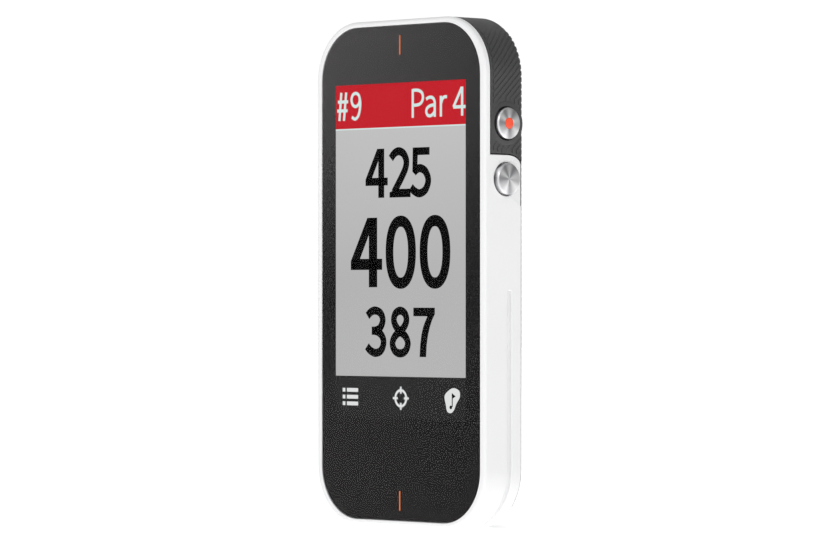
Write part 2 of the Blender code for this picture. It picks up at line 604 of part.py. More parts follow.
def port_flap(finishes):
    """The rubber flap over the port. It turns about its upper edge, at the back's surface."""
    hinge = (0, depth_y(DEPTH), FLAP_HINGE)
    axis = axis_empty("usb_flap_axis", hinge)
    back = DEPTH - 0.1
    flap = add("usb_flap", bevelled_block((-FLAP_HALF, FLAP_HALF), (back - FLAP_THICK, back),
                                          (FLAP_LOW, FLAP_HINGE - 0.2), 0.3),
               finishes["rubber"], hinge, axis)
    plug = bevelled_block((-5.2, 5.2), (back - FLAP_THICK - 2.0, back - 0.5), (15.8, 21.8), 0.3)
    boolean(flap, "UNION", guide("flap_plug", plug))
    add("usb_flap_anchor", bevelled_block((-FLAP_HALF, FLAP_HALF), (back - FLAP_THICK, back),
                                          (FLAP_HINGE + 0.3, ANCHOR_TOP), 0.3), finishes["rubber"])


# ---- Fasteners -----------------------------------------------------------------------------------


def screw_profile(head_radius, head_height, shank_radius, length):
    """(along, radius) from the point at -length to the head above 0, with a socket in the head."""
    socket = head_radius * 0.42
    return [(-length, 0), (-length, shank_radius * 0.6), (-length + 0.4, shank_radius), (0, shank_radius),
            (0, head_radius), (head_height * 0.7, head_radius), (head_height, head_radius * 0.75),
            (head_height, socket), (head_height * 0.45, socket), (head_height * 0.45, 0)]


def fasteners(finishes):
    for number, (x, z) in enumerate(SCREW_PLACES, 1):
        screw = turned(screw_profile(1.9, 1.3, 0.75, 6.2), (x, depth_y(SCREW_SEAT + 0.15), z), (0, 1, 0), 12)
        add(f"case_screw_{number}", screw, finishes["black_steel"])
        insert = turned([(0, 0.95), (0, 1.35), (3.2, 1.35), (3.2, 0.95)], (x, depth_y(4.7), z), (0, 1, 0), 12)
        add(f"thread_insert_{number}", insert, finishes["brass"])
    for number, (x, z) in enumerate(BOARD_SCREWS, 1):
        screw = turned(screw_profile(1.5, 0.9, 0.6, 2.9), (x, depth_y(BOARD_BACK + 0.15), z), (0, 1, 0), 10)
        add(f"board_screw_{number}", screw, finishes["steel"])
    for number, (x, z) in enumerate(RADAR_SCREWS, 1):
        screw = turned(screw_profile(1.3, 0.8, 0.5, 3.4), (x, depth_y(RADAR_FRONT - 0.15), z), (0, -1, 0), 10)
        add(f"radar_screw_{number}", screw, finishes["steel"])
    disc = turned([(0, 0), (0, 2.4), (0.35, 2.4), (0.35, 0)], (0, depth_y(23.6), VENT_HEIGHT), (0, 1, 0), 20)
    add("vent_membrane", disc, finishes["foam"])


def main():
    for obj in list(bpy.data.objects):
        bpy.data.objects.remove(obj, do_unlink=True)
    finishes = {
        "white": material("white_plastic", (0.82, 0.82, 0.83), 0.35),
        "ribbed": material("ribbed_dark_plastic", (0.05, 0.05, 0.053), 0.45),
        "glass": material("cover_glass", (0.02, 0.02, 0.02), 0.05, transmission=0.6),
        "clear_film": material("touch_film", (0.5, 0.5, 0.5), 0.1, transmission=0.8),
        "display": material("display_panel", (0.42, 0.44, 0.45), 0.3),
        "backlight": material("backlight", (0.85, 0.86, 0.88), 0.5),
        "adhesive": material("adhesive", (0.04, 0.04, 0.04), 0.7),
        "aluminium": material("spun_aluminium", (0.72, 0.72, 0.73), 0.28, 1.0),
        "orange": material("orange_enamel", (0.95, 0.13, 0.05), 0.4),
        "rubber": material("black_rubber", (0.03, 0.03, 0.03), 0.75),
        "steel": material("tinned_steel", (0.62, 0.62, 0.6), 0.35, 1.0),
        "black_steel": material("black_steel", (0.06, 0.06, 0.06), 0.4, 1.0),
        "brass": material("brass", (0.75, 0.55, 0.22), 0.35, 1.0),
        "board": material("circuit_board", (0.02, 0.18, 0.08), 0.5),
        "gold": material("antenna_laminate", (0.7, 0.5, 0.2), 0.4),
        "ceramic": material("ceramic", (0.75, 0.7, 0.6), 0.6),
        "dark_plastic": material("dark_plastic", (0.04, 0.04, 0.045), 0.5),
        "cream_plastic": material("cream_plastic", (0.8, 0.76, 0.65), 0.5),
        "polyimide": material("polyimide_film", (0.6, 0.28, 0.05), 0.35),
        "battery": material("battery_wrap", (0.25, 0.3, 0.36), 0.4),
        "foam": material("foam", (0.1, 0.1, 0.11), 0.9),
        "red_wire": material("wire_sleeve", (0.5, 0.03, 0.03), 0.5),
        "magnesium": material("chassis_alloy", (0.45, 0.46, 0.47), 0.5, 0.8),
    }
    blocks, button_cuts = standing_blocks(), button_cutters()
    front_housing(finishes["white"], blocks, button_cuts)
    rear_housing(finishes["ribbed"], blocks, button_cuts)
    case_seal(finishes["rubber"])
    display_stack(finishes)
    chassis(finishes["magnesium"])
    for which in BUTTONS:
        button(which, finishes)
        switch(which, finishes)
    boards(finishes)
    power(finishes)
    charging_port(finishes)
    port_flap(finishes)
    fasteners(finishes)


main()
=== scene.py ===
"""The looks of a hand-held golf launch monitor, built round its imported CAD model.

Lengths are in millimetres and angles in degrees unless a comment says otherwise, and MM turns millimetres
into the scene's metres. The screen faces -Y, the buttons are on +X, and the case stands on z = 0. "depth"
runs from the front face towards the back. Colours are linear."""

import json
import math

import bmesh
import bpy
from mathutils import Matrix, Vector


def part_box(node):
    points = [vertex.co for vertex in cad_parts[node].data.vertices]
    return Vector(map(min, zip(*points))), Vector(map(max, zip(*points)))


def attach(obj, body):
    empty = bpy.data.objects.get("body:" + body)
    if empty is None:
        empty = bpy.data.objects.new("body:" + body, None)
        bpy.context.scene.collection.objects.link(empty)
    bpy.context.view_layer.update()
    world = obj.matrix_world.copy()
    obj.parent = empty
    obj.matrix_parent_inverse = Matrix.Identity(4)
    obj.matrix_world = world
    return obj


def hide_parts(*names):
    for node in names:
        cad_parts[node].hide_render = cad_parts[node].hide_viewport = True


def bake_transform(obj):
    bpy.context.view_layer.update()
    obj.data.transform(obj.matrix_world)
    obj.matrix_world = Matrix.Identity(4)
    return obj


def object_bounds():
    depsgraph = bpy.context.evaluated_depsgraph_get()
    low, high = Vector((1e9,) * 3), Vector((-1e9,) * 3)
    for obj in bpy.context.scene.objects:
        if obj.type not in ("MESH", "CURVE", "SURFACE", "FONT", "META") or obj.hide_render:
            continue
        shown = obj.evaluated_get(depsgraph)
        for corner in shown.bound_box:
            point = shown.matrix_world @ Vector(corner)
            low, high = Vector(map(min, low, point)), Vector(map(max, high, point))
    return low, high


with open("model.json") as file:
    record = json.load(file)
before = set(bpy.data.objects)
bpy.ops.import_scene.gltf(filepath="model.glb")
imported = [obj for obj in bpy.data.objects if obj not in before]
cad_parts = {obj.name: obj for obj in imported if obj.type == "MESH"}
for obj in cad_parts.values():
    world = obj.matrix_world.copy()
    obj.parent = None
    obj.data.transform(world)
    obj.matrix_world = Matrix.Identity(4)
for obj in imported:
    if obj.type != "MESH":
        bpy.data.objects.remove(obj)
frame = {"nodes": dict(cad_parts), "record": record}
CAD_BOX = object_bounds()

MM = 0.001
FRONT_Y = CAD_BOX[0].y / MM
HEIGHT = CAD_BOX[1].z / MM
DEPTH = (CAD_BOX[1].y - CAD_BOX[0].y) / MM
HALF_WIDTH = -CAD_BOX[0].x / MM

# Case, as in the CAD model
CORNER = 14.4
SIDE_DEPTH, EDGE_ROUND, BACK_ROUND, BACK_SLOPE = 12.45, 1.2, 6.0, 48.0
FOOT_DEPTH, FOOT_ROUND = 18.5, 7.5
WALL, GAP = 1.8, 0.3
SEAM_FRONT, SEAM_HEIGHT, SEAM_REAR = 1.8, 90.3, 12.3
SEAM_BEND_DEPTH, SEAM_BEND_DROP = 5.0, 2.4
FRONT_ROUND = 0.8
SEAM_ROUND = 0.18  # the small radius on the edges that meet at the seam
OUTLINE_STEPS = 28

# Glass and the picture under it
GLASS_HALF, GLASS_LOW, GLASS_HIGH, GLASS_CORNER = 28.29, 1.55, 122.49, 12.85
GLASS_CLEARANCE, RIM_CHAMFER = 0.15, 0.14
LEDGE_FRONT, LEDGE_BACK = 1.45, 2.4
WINDOW_HALF, WINDOW_LOW, WINDOW_HIGH = 25.1, 20.0, 113.0
SCREEN_HALF, SCREEN_LOW, SCREEN_HIGH = 23.31, 26.37, 108.52
BANNER_LOW, TOOLBAR_HIGH = 97.75, 36.67
PRINT_DEPTH = 0.24  # of the black border printed under the glass
LAYER = 0.03  # between one layer of the picture and the next

# Buttons
BUTTON_DEPTH = 7.2
BUTTON_RADIUS, BUTTON_PROUD, BUTTON_SUNK, BUTTON_CHAMFER = 3.8, 1.05, 1.0, 0.34
STEM_RADIUS, STEM_END = 1.5, 24.0
WELL_RADIUS, WELL_SUNK, WELL_LIP = 4.1, 1.5, 0.3
DOT_RADIUS = 1.35
COLLAR_RADIUS, COLLAR_HEIGHT = 5.4, 0.16

# Holder grooves down both sides
GROOVE_DEPTH, GROOVE_RADIUS, GROOVE_LIP = 8.2, 0.72, 0.24
GROOVE_TOP, GROOVE_END_ANGLE = 57.0, 72.0
GROOVE_WALL, GROOVE_CLEAR = 0.25, 0.4  # straight part of its walls, and how far its cutter stands out
DETENT_HEIGHT, DETENT_LENGTH = 48.0, 4.2

# Ribs on the rear housing: bands that climb towards the back, with narrow grooves between them
RIB_PITCH, RIB_WIDTH, RIB_HEIGHT, RIB_BEVEL = 1.6, 1.18, 0.17, 0.16
RIB_FOOT, RIB_SUNK = 0.02, 0.05  # how far the foot of a band's flanks and its underside lie below the skin
RIB_SLOPE = math.tan(math.radians(43.0))
RIB_FADE_START, RIB_FADE_END = 40.0, 58.0  # angles round the corners where the bands sink into the surface

# Back
SCREW_PLACES = ((-20.0, 11.0), (20.0, 11.0), (-18.0, 116.5), (18.0, 116.5))
SCREW_SEAT, COUNTERBORE_RADIUS = 11.3, 2.3
PORT_HEIGHT, PORT_HALF_WIDTH, PORT_HALF_HEIGHT, PORT_FLOOR = 18.5, 6.2, 4.1, 17.5
FLAP_HALF, FLAP_LOW, FLAP_HINGE, FLAP_THICK, FLAP_SEAT = 7.1, 13.4, 25.0, 1.3, 1.7
ANCHOR_TOP = 29.0
VENT_HEIGHT, VENT_RADIUS = 34.0, 0.6


def y_at(depth):
    return FRONT_Y + depth


# ---- Materials -----------------------------------------------------------------------------------


def node(tree, kind, inputs=None, **settings):
    made = tree.nodes.new("ShaderNode" + kind)
    for name, value in settings.items():
        setattr(made, name, value)
    for name, value in (inputs or {}).items():
        if isinstance(value, bpy.types.NodeSocket):
            tree.links.new(value, made.inputs[name])
        else:
            made.inputs[name].default_value = value
    return made


def blank_material(name):
    made = bpy.data.materials.new(name)
    made.use_nodes = True
    tree = made.node_tree
    tree.nodes.clear()
    return made, tree, node(tree, "OutputMaterial"), node(tree, "TexCoord").outputs["Object"]


def shade(colour, factor):
    return (*[min(max(c * factor, 0.0), 1.0) for c in colour], 1.0)


def ramp(tree, factor, stops, interpolation="LINEAR"):
    made = node(tree, "ValToRGB", {"Fac": factor})
    band = made.color_ramp
    band.interpolation = interpolation
    while len(band.elements) < len(stops):
        band.elements.new(0.5)
    for element, (place, colour) in zip(band.elements, stops):
        element.position = place
        element.color = colour
    return made.outputs["Color"]


def noise(tree, where, period, detail=3.0, roughness=0.55):
    """Noise whose blotches are about this many millimetres apart."""
    return node(tree, "TexNoise", {"Vector": where, "Scale": 1 / (period * MM), "Detail": detail,
                                   "Roughness": roughness}).outputs["Fac"]


def rescaled(tree, value, low, high):
    return node(tree, "MapRange", {"Value": value, "From Min": 0.25, "From Max": 0.75, "To Min": low,
                                   "To Max": high}).outputs["Result"]


def plastic(name, colour, roughness, variation=0.04, grain=0.35, grain_height=0.01, patch=14.0, metallic=0.0,
            coat=0.0, specular=0.5, stretch=(1.0, 1.0, 1.0)):
    """A moulded, painted or metal surface: faint patches of colour, uneven gloss and a fine grain."""
    made, tree, output, where = blank_material(name)
    blotch = noise(tree, where, patch)
    base = ramp(tree, blotch, [(0.3, shade(colour, 1 - variation)), (0.7, shade(colour, 1 + variation))])
    gloss = rescaled(tree, noise(tree, where, patch * 0.4), roughness * 0.88, roughness * 1.12)
    stretched = node(tree, "Mapping", {"Vector": where, "Scale": stretch}).outputs["Vector"]
    fine = noise(tree, stretched, grain, 2.0)
    bump = node(tree, "Bump", {"Height": fine, "Distance": grain_height * MM, "Strength": 1.0})
    shader = node(tree, "BsdfPrincipled", {"Base Color": base, "Roughness": gloss,
                                           "Normal": bump.outputs["Normal"]})
    shader.inputs["Metallic"].default_value = metallic
    shader.inputs["Coat Weight"].default_value = coat
    shader.inputs["Specular IOR Level"].default_value = specular
    tree.links.new(shader.outputs["BSDF"], output.inputs["Surface"])
    return made


def spun_metal_painted_reflection(name, axis_height):
    """A face turned on a lathe: fine rings, and bright and dark sectors that meet at the centre, a painted
    reflection of the lamps set in the base colour.
    """
    made, tree, output, where = blank_material(name)
    centre = (0.0, -y_at(BUTTON_DEPTH) * MM, -axis_height * MM)
    local = node(tree, "Mapping", {"Vector": where, "Location": centre}).outputs["Vector"]
    parts = node(tree, "SeparateXYZ", {"Vector": local})
    flat = node(tree, "CombineXYZ", {"X": parts.outputs["Z"], "Y": parts.outputs["Y"], "Z": 0.0})
    flat = flat.outputs["Vector"]
    turn = node(tree, "TexGradient", {"Vector": flat}, gradient_type="RADIAL").outputs["Fac"]
    # Painted reflection: grey sectors round the axis stand in for the lamps' highlights on the turned face.
    dark, mid, light = shade((0.36, 0.36, 0.37), 1), shade((0.6, 0.6, 0.61), 1), shade((0.86, 0.86, 0.87), 1)
    stops = [(0.0, dark), (0.07, light), (0.16, mid), (0.26, dark), (0.34, light), (0.42, dark),
             (0.5, light), (0.58, dark), (0.7, light), (0.78, mid), (0.86, light), (1.0, dark)]
    # Painted reflection: these sectors are highlight and shade painted into the colour, not a property of the
    # metal.
    sectors = ramp(tree, turn, stops, "EASE")
    radius = node(tree, "VectorMath", {0: flat}, operation="LENGTH").outputs["Value"]
    rings = node(tree, "CombineXYZ", {"X": radius, "Y": 0.0, "Z": 0.0}).outputs["Vector"]
    fine = noise(tree, rings, 0.09, 3.0)
    streaks = ramp(tree, fine, [(0.3, mid), (0.7, light)])
    base = node(tree, "Mix", {"Factor": 0.18, "A": sectors, "B": streaks}, data_type="RGBA",
                blend_type="OVERLAY").outputs["Result"]
    bump = node(tree, "Bump", {"Height": fine, "Distance": 0.006 * MM, "Strength": 1.0}).outputs["Normal"]
    shader = node(tree, "BsdfPrincipled", {"Base Color": base, "Normal": bump,
                                           "Roughness": rescaled(tree, fine, 0.26, 0.36)})
    shader.inputs["Metallic"].default_value = 1.0
    tree.links.new(shader.outputs["BSDF"], output.inputs["Surface"])
    return made


def lit(name, colour, low=1.0, high=1.0):
    """A lit area of the display, whose brightness runs from low at its foot to high at its top."""
    made, tree, output, where = blank_material(name)
    height = node(tree, "SeparateXYZ", {"Vector": where}).outputs["Z"]
    rise = node(tree, "MapRange", {"Value": height, "From Min": 60 * MM, "From Max": 100 * MM})
    rise = rise.outputs["Result"]
    wave = noise(tree, where, 30.0, 1.0)
    level = node(tree, "Mix", {"Factor": rise, "A": shade(colour, low), "B": shade(colour, high)},
                 data_type="RGBA").outputs["Result"]
    glow = node(tree, "Mix", {"Factor": rescaled(tree, wave, 0.0, 0.06), "A": level, "B": shade(colour, 0.5)},
                data_type="RGBA").outputs["Result"]
    shader = node(tree, "BsdfPrincipled", {"Base Color": (0.003, 0.003, 0.003, 1), "Emission Color": glow,
                                           "Roughness": rescaled(tree, wave, 0.3, 0.4)})
    shader.inputs["Emission Strength"].default_value = 1.0
    shader.inputs["Specular IOR Level"].default_value = 0.0
    tree.links.new(shader.outputs["BSDF"], output.inputs["Surface"])
    return made


def border_print_painted_reflection():
    """Black ink under the glass, with a painted reflection: greyer towards the top and towards the left."""
    made, tree, output, where = blank_material("glass_border_ink_painted_reflection")
    parts = node(tree, "SeparateXYZ", {"Vector": where})
    # Painted reflection: the ink is made greyer towards the top and the left, where the glass would mirror
    # the lamps.
    rise = node(tree, "MapRange", {"Value": parts.outputs["Z"], "From Min": 55 * MM, "From Max": 122 * MM},
                interpolation_type="SMOOTHSTEP").outputs["Result"]
    across = node(tree, "MapRange", {"Value": parts.outputs["X"], "From Min": -28 * MM, "From Max": 28 * MM,
                                     "To Min": 1.0, "To Max": 0.5}).outputs["Result"]
    painted_reflection_amount = node(tree, "Math", {0: rise, 1: across}, operation="MULTIPLY").outputs["Value"]
    speck = noise(tree, where, 0.2, 2.0)
    base = ramp(tree, painted_reflection_amount, [(0.0, (0.008, 0.0072, 0.0075, 1)), (1.0, (0.068, 0.065, 0.066, 1))])
    share = rescaled(tree, speck, 0.0, 0.05)
    varied = node(tree, "Mix", {"Factor": share, "A": base, "B": (0.03, 0.03, 0.03, 1)},
                  data_type="RGBA").outputs["Result"]
    shader = node(tree, "BsdfPrincipled", {"Base Color": varied,
                                           "Roughness": rescaled(tree, speck, 0.45, 0.55)})
    shader.inputs["Specular IOR Level"].default_value = 0.1
    tree.links.new(shader.outputs["BSDF"], output.inputs["Surface"])
    return made


def clear_glass():
    """Coated glass: clear, with a weak reflection that grows at a low angle."""
    made, tree, output, where = blank_material("coated_glass")
    smear = noise(tree, where, 22.0, 2.0)
    mirror = node(tree, "BsdfGlossy", {"Color": (1, 1, 1, 1), "Roughness": rescaled(tree, smear, 0.03, 0.06)})
    clear = node(tree, "BsdfTransparent", {"Color": (1, 1, 1, 1)})
    share = node(tree, "Fresnel", {"IOR": 1.08}).outputs["Fac"]
    mixed = node(tree, "MixShader", {0: share, 1: clear.outputs["BSDF"], 2: mirror.outputs["BSDF"]})
    tree.links.new(mixed.outputs["Shader"], output.inputs["Surface"])
    return made


def circuit_board_material():
    """Green solder mask over fine copper tracks."""
    made, tree, output, where = blank_material("circuit_board_mask")
    tracks = node(tree, "TexBrick", {"Vector": where, "Scale": 1.0, "Brick Width": 1.7 * MM,
                                     "Row Height": 0.5 * MM, "Mortar Size": 0.06 * MM,
                                     "Color1": (0.012, 0.13, 0.05, 1),
                                     "Color2": (0.016, 0.16, 0.06, 1), "Mortar": (0.03, 0.24, 0.1, 1)})
    bump = node(tree, "Bump", {"Height": tracks.outputs["Fac"], "Distance": 0.02 * MM, "Strength": 1.0})
    gloss = rescaled(tree, noise(tree, where, 3.0), 0.3, 0.45)
    shader = node(tree, "BsdfPrincipled", {"Base Color": tracks.outputs["Color"], "Roughness": gloss,
                                           "Normal": bump.outputs["Normal"]})
    tree.links.new(shader.outputs["BSDF"], output.inputs["Surface"])
    return made


def slot_materials():
    """One finish for each material slot of the record."""
    return {
        "white_plastic": plastic("white_plastic_satin", (0.83, 0.83, 0.835), 0.42, 0.008, 0.22, 0.003, 30.0),
        "ribbed_plastic": plastic("dark_plastic_satin", (0.05, 0.05, 0.051), 0.48, 0.07, 0.16, 0.012, 9.0),
        "cover_glass": clear_glass(),
        "touch_film": plastic("touch_film_clear", (0.3, 0.3, 0.32), 0.15, 0.04, 0.4, 0.004, 10.0),
        "display_panel": plastic("display_panel_glass", (0.1, 0.1, 0.11), 0.18, 0.05, 0.3, 0.003, 12.0),
        "backlight": plastic("backlight_sheet", (0.8, 0.81, 0.83), 0.5, 0.02, 0.3, 0.01, 8.0),
        "adhesive": plastic("adhesive_tape", (0.02, 0.02, 0.02), 0.7, 0.15, 0.3, 0.02, 4.0),
        "spun_aluminium": plastic("turned_aluminium", (0.75, 0.75, 0.76), 0.28, 0.03, 0.1, 0.003, 3.0, 1.0),
        "orange_enamel": plastic("orange_enamel_gloss", (0.93, 0.085, 0.03), 0.32, 0.05, 0.5, 0.008, 1.2,
                                 coat=0.4),
        "black_rubber": plastic("black_rubber_matt", (0.022, 0.022, 0.023), 0.72, 0.12, 0.22, 0.02, 5.0),
        "tinned_steel": plastic("tinned_steel_sheet", (0.6, 0.6, 0.58), 0.34, 0.06, 0.25, 0.008, 4.0, 1.0),
        "black_steel": plastic("black_oxide_steel", (0.05, 0.05, 0.052), 0.38, 0.15, 0.15, 0.006, 1.5, 1.0),
        "brass": plastic("brass_turned", (0.72, 0.5, 0.2), 0.33, 0.05, 0.15, 0.006, 1.5, 1.0),
        "circuit_board": circuit_board_material(),
        "antenna_laminate": plastic("antenna_copper", (0.7, 0.45, 0.22), 0.4, 0.06, 0.3, 0.01, 4.0, 0.6),
        "ceramic": plastic("ceramic_fired", (0.72, 0.67, 0.57), 0.6, 0.06, 0.3, 0.02, 2.0),
        "dark_plastic": plastic("moulded_black", (0.03, 0.03, 0.032), 0.5, 0.1, 0.25, 0.012, 5.0),
        "cream_plastic": plastic("moulded_cream", (0.78, 0.73, 0.62), 0.5, 0.04, 0.25, 0.01, 3.0),
        "polyimide_film": plastic("polyimide_amber", (0.55, 0.24, 0.04), 0.35, 0.08, 0.4, 0.006, 3.0),
        "battery_wrap": plastic("battery_film", (0.2, 0.25, 0.31), 0.36, 0.08, 0.8, 0.02, 9.0),
        "foam": plastic("closed_cell_foam", (0.07, 0.07, 0.075), 0.9, 0.2, 0.3, 0.08, 1.0),
        "wire_sleeve": plastic("wire_sleeve_red", (0.45, 0.02, 0.02), 0.45, 0.06, 0.3, 0.006, 2.0),
        "chassis_alloy": plastic("cast_magnesium", (0.42, 0.43, 0.44), 0.5, 0.08, 0.3, 0.03, 3.0, 0.8),
    }


# ---- Meshes --------------------------------------------------------------------------------------


def mesh_object(name, bm, finish=None, sharp=32.0):
    bmesh.ops.recalc_face_normals(bm, faces=bm.faces)
    mesh = bpy.data.meshes.new(name)
    bm.to_mesh(mesh)
    bm.free()
    mesh.transform(Matrix.Scale(MM, 4))
    mesh.shade_smooth()
    mesh.set_sharp_from_angle(angle=math.radians(sharp))
    obj = bpy.data.objects.new(name, mesh)
    bpy.context.scene.collection.objects.link(obj)
    if finish:
        mesh.materials.append(finish)
    return obj


def piece(name, bm, finish, body="case", replaces=(), sharp=32.0):
    """A visible piece of the object, riding on a body."""
    obj = bm if isinstance(bm, bpy.types.Object) else mesh_object(name, bm, finish, sharp)
    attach(obj, body)
    if replaces:
        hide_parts(*replaces)
    return obj


def combine(obj, operation, *others, solver="MANIFOLD", sharp=32.0):
    """Applies Booleans to obj at once and removes the other objects."""
    for other in others:
        step = obj.modifiers.new("step", "BOOLEAN")
        step.operation, step.solver, step.object = operation, solver, other
    graph = bpy.context.evaluated_depsgraph_get()
    mesh = bpy.data.meshes.new_from_object(obj.evaluated_get(graph))
    obj.modifiers.clear()
    obj.data = mesh
    mesh.shade_smooth()
    mesh.set_sharp_from_angle(angle=math.radians(sharp))
    for other in others:
        bpy.data.objects.remove(other)
    return obj


def even_normals(obj):
    """Keeps flat faces flat in the shading, and lets the small fillets carry the turn."""
    step = obj.modifiers.new("even normals", "WEIGHTED_NORMAL")
    step.keep_sharp = True
    step.weight = 80
    return obj


def outline(half_width, low, high, radius, steps=OUTLINE_STEPS):
    """Points (x, z) of an upright rectangle with round corners."""
    points = []
    for side, z, start in ((1, low + radius, -90), (1, high - radius, 0),
                           (-1, high - radius, 90), (-1, low + radius, 180)):
        for step in range(steps + 1):
            angle = math.radians(start + 90 * step / steps)
            points.append((side * (half_width - radius) + radius * math.cos(angle),
                           z + radius * math.sin(angle)))
    return points


def bridge(bm, rings, closed=False):
    """Quads between neighbouring rings of vertices, each ring a closed loop."""
    pairs = list(zip(rings, rings[1:])) + ([(rings[-1], rings[0])] if closed else [])
    for near, far in pairs:
        for i in range(len(near)):
            j = (i + 1) % len(near)
            bm.faces.new((near[i], near[j], far[j], far[i]))


def loft(sections, closed=False):
    """A closed mesh through outlines (depth, points) that all have the same number of points."""
    bm = bmesh.new()
    rings = [[bm.verts.new((x, y_at(depth), z)) for x, z in points] for depth, points in sections]
    bridge(bm, rings, closed)
    if not closed:
        bm.faces.new(rings[0])
        bm.faces.new(rings[-1][::-1])
    return bm


def arc(start, end, steps):
    """Angles in radians from start to end degrees, both included."""
    return [math.radians(start + (end - start) * step / steps) for step in range(steps + 1)]


def soft_plate(shape, front, back, rounding, steps=4):
    """A plate whose front edge is rounded. shape(inset) gives its outline moved inwards."""
    sections = [(front + rounding * (1 - math.cos(a)), shape(rounding * (1 - math.sin(a))))
                for a in arc(0, 90, steps)]
    return loft([*sections, (back, shape(0.0))])


def turned(profile, centre, axis, segments=64):
    """A solid of revolution. The profile is a closed loop of (distance along the axis, radius)."""
    bm = bmesh.new()
    rings = []
    for along, radius in profile:
        count = segments if radius > 0 else 1
        angles = [2 * math.pi * i / segments for i in range(count)]
        rings.append([bm.verts.new((radius * math.cos(a), radius * math.sin(a), along)) for a in angles])
    for first, second in zip(rings, rings[1:] + rings[:1]):
        for i in range(segments):
            j = (i + 1) % segments
            corners = [first[i % len(first)], first[j % len(first)],
                       second[j % len(second)], second[i % len(second)]]
            corners = list(dict.fromkeys(corners))
            if len(corners) > 2:
                bm.faces.new(corners)
    turn = Vector(axis).to_track_quat("Z", "Y").to_matrix().to_4x4()
    bm.transform(Matrix.Translation(centre) @ turn)
    return bm


def block(x, depth, z, bm=None):
    """A box between pairs of limits, added to bm where one is given."""
    bm = bm or bmesh.new()
    size = [high - low for low, high in (x, depth, z)]
    middle = Vector((sum(x) / 2, y_at(sum(depth) / 2), sum(z) / 2))
    bmesh.ops.create_cube(bm, size=1.0, matrix=Matrix.Translation(middle) @ Matrix.Diagonal((*size, 1.0)))
    return bm


def side_prism(sections):
    """A solid through sections (x, points), where the points are (depth, z)."""
    bm = bmesh.new()
    rings = [[bm.verts.new((x, y_at(depth), z)) for depth, z in points] for x, points in sections]
    bridge(bm, rings)
    bm.faces.new(rings[0])
    bm.faces.new(rings[-1][::-1])
    return bm


# ---- The case's shape ----------------------------------------------------------------------------


def case_profile(offset=0.0, edge_steps=8, back_steps=12):
    """(depth, inset) down the side and over the back, moved inwards from the outer skin by offset."""
    slope = math.radians(BACK_SLOPE)
    edge_depth = SIDE_DEPTH - EDGE_ROUND * math.sin(slope)
    line = EDGE_ROUND + edge_depth * math.sin(slope) - EDGE_ROUND * math.cos(slope) - offset
    points = []
    if offset < EDGE_ROUND:
        radius = EDGE_ROUND - offset
        points += [(edge_depth + radius * math.sin(turn), EDGE_ROUND - radius * math.cos(turn))
                   for turn in arc(0, BACK_SLOPE, edge_steps)]
    else:
        points.append(((line + offset * math.cos(slope)) / math.sin(slope), offset))
    radius = BACK_ROUND - offset
    centre_depth = DEPTH - BACK_ROUND
    start_depth = centre_depth + radius * math.sin(slope)
    start_inset = (start_depth * math.sin(slope) - line) / math.cos(slope)
    points += [(centre_depth + radius * math.sin(turn),
                start_inset + radius * (math.cos(slope) - math.cos(turn)))
               for turn in arc(BACK_SLOPE, 90, back_steps)]
    return points


def inset_at(depth, offset=0.0):
    points = case_profile(offset)
    if depth <= points[0][0]:
        return points[0][1]
    for (d0, i0), (d1, i1) in zip(points, points[1:]):
        if depth <= d1:
            return i0 + (i1 - i0) * (depth - d0) / (d1 - d0)
    return points[-1][1]


def base_at(depth, offset=0.0):
    """Height of the base at this depth."""
    if depth <= FOOT_DEPTH:
        return offset
    radius = FOOT_ROUND - offset
    return FOOT_ROUND - math.sqrt(max(radius**2 - (depth - FOOT_DEPTH) ** 2, 0.0))


def case_outline(depth, offset=0.0, shrink=0.0):
    inset = inset_at(depth, offset) + shrink
    half_width = HALF_WIDTH - inset
    radius = min(CORNER - offset - shrink, half_width - 0.6)
    return outline(half_width, base_at(depth, offset) + shrink, HEIGHT - inset, radius)


def case_depths(first, last, offset=0.0):
    """Depths where the case's profile or its foot turns, between two limits."""
    depths = {depth for depth, _ in case_profile(offset)}
    depths |= {FOOT_DEPTH + (DEPTH - offset - FOOT_DEPTH) * math.sin(turn) for turn in arc(0, 85, 8)}
    return [depth for depth in sorted(depths) if first < depth < last]


def seam_curve(shift, steps=24):
    """(depth, z) of the seam from the rear edge to the front, moved out of the front housing by shift."""
    return [(SEAM_REAR - SEAM_BEND_DEPTH + (SEAM_BEND_DEPTH + shift) * math.cos(turn),
             SEAM_HEIGHT - SEAM_BEND_DROP + (SEAM_BEND_DROP + shift) * math.sin(turn))
            for turn in arc(0, 90, steps)]


def seam_section(shift, behind):
    """Section of all that lies behind the seam, or in front of it."""
    above, below, front, back = HEIGHT + 5, -5, -2, DEPTH + 5
    edge = [*seam_curve(shift), (SEAM_FRONT + shift, SEAM_HEIGHT + shift), (SEAM_FRONT + shift, above)]
    if behind:
        return [(back, below), (SEAM_REAR + shift, below), *edge, (back, above)]
    return [(front, below), (SEAM_REAR + shift, below), *edge, (front, above)]


def seam_cutter(behind, shift, flare):
    """All that lies on one side of the seam. It widens near the side walls, to round the edge it cuts."""
    half = [(HALF_WIDTH - SEAM_ROUND * (1 - math.sin(turn)), flare * SEAM_ROUND * (1 - math.cos(turn)))
            for turn in arc(0, 90, 5)]
    half.append((HALF_WIDTH + 3, flare * SEAM_ROUND))
    stations = [(-x, extra) for x, extra in half[::-1]] + half
    sections = [(x, seam_section(shift + extra, behind)) for x, extra in stations]
    return mesh_object("seam_cutter", side_prism(sections))


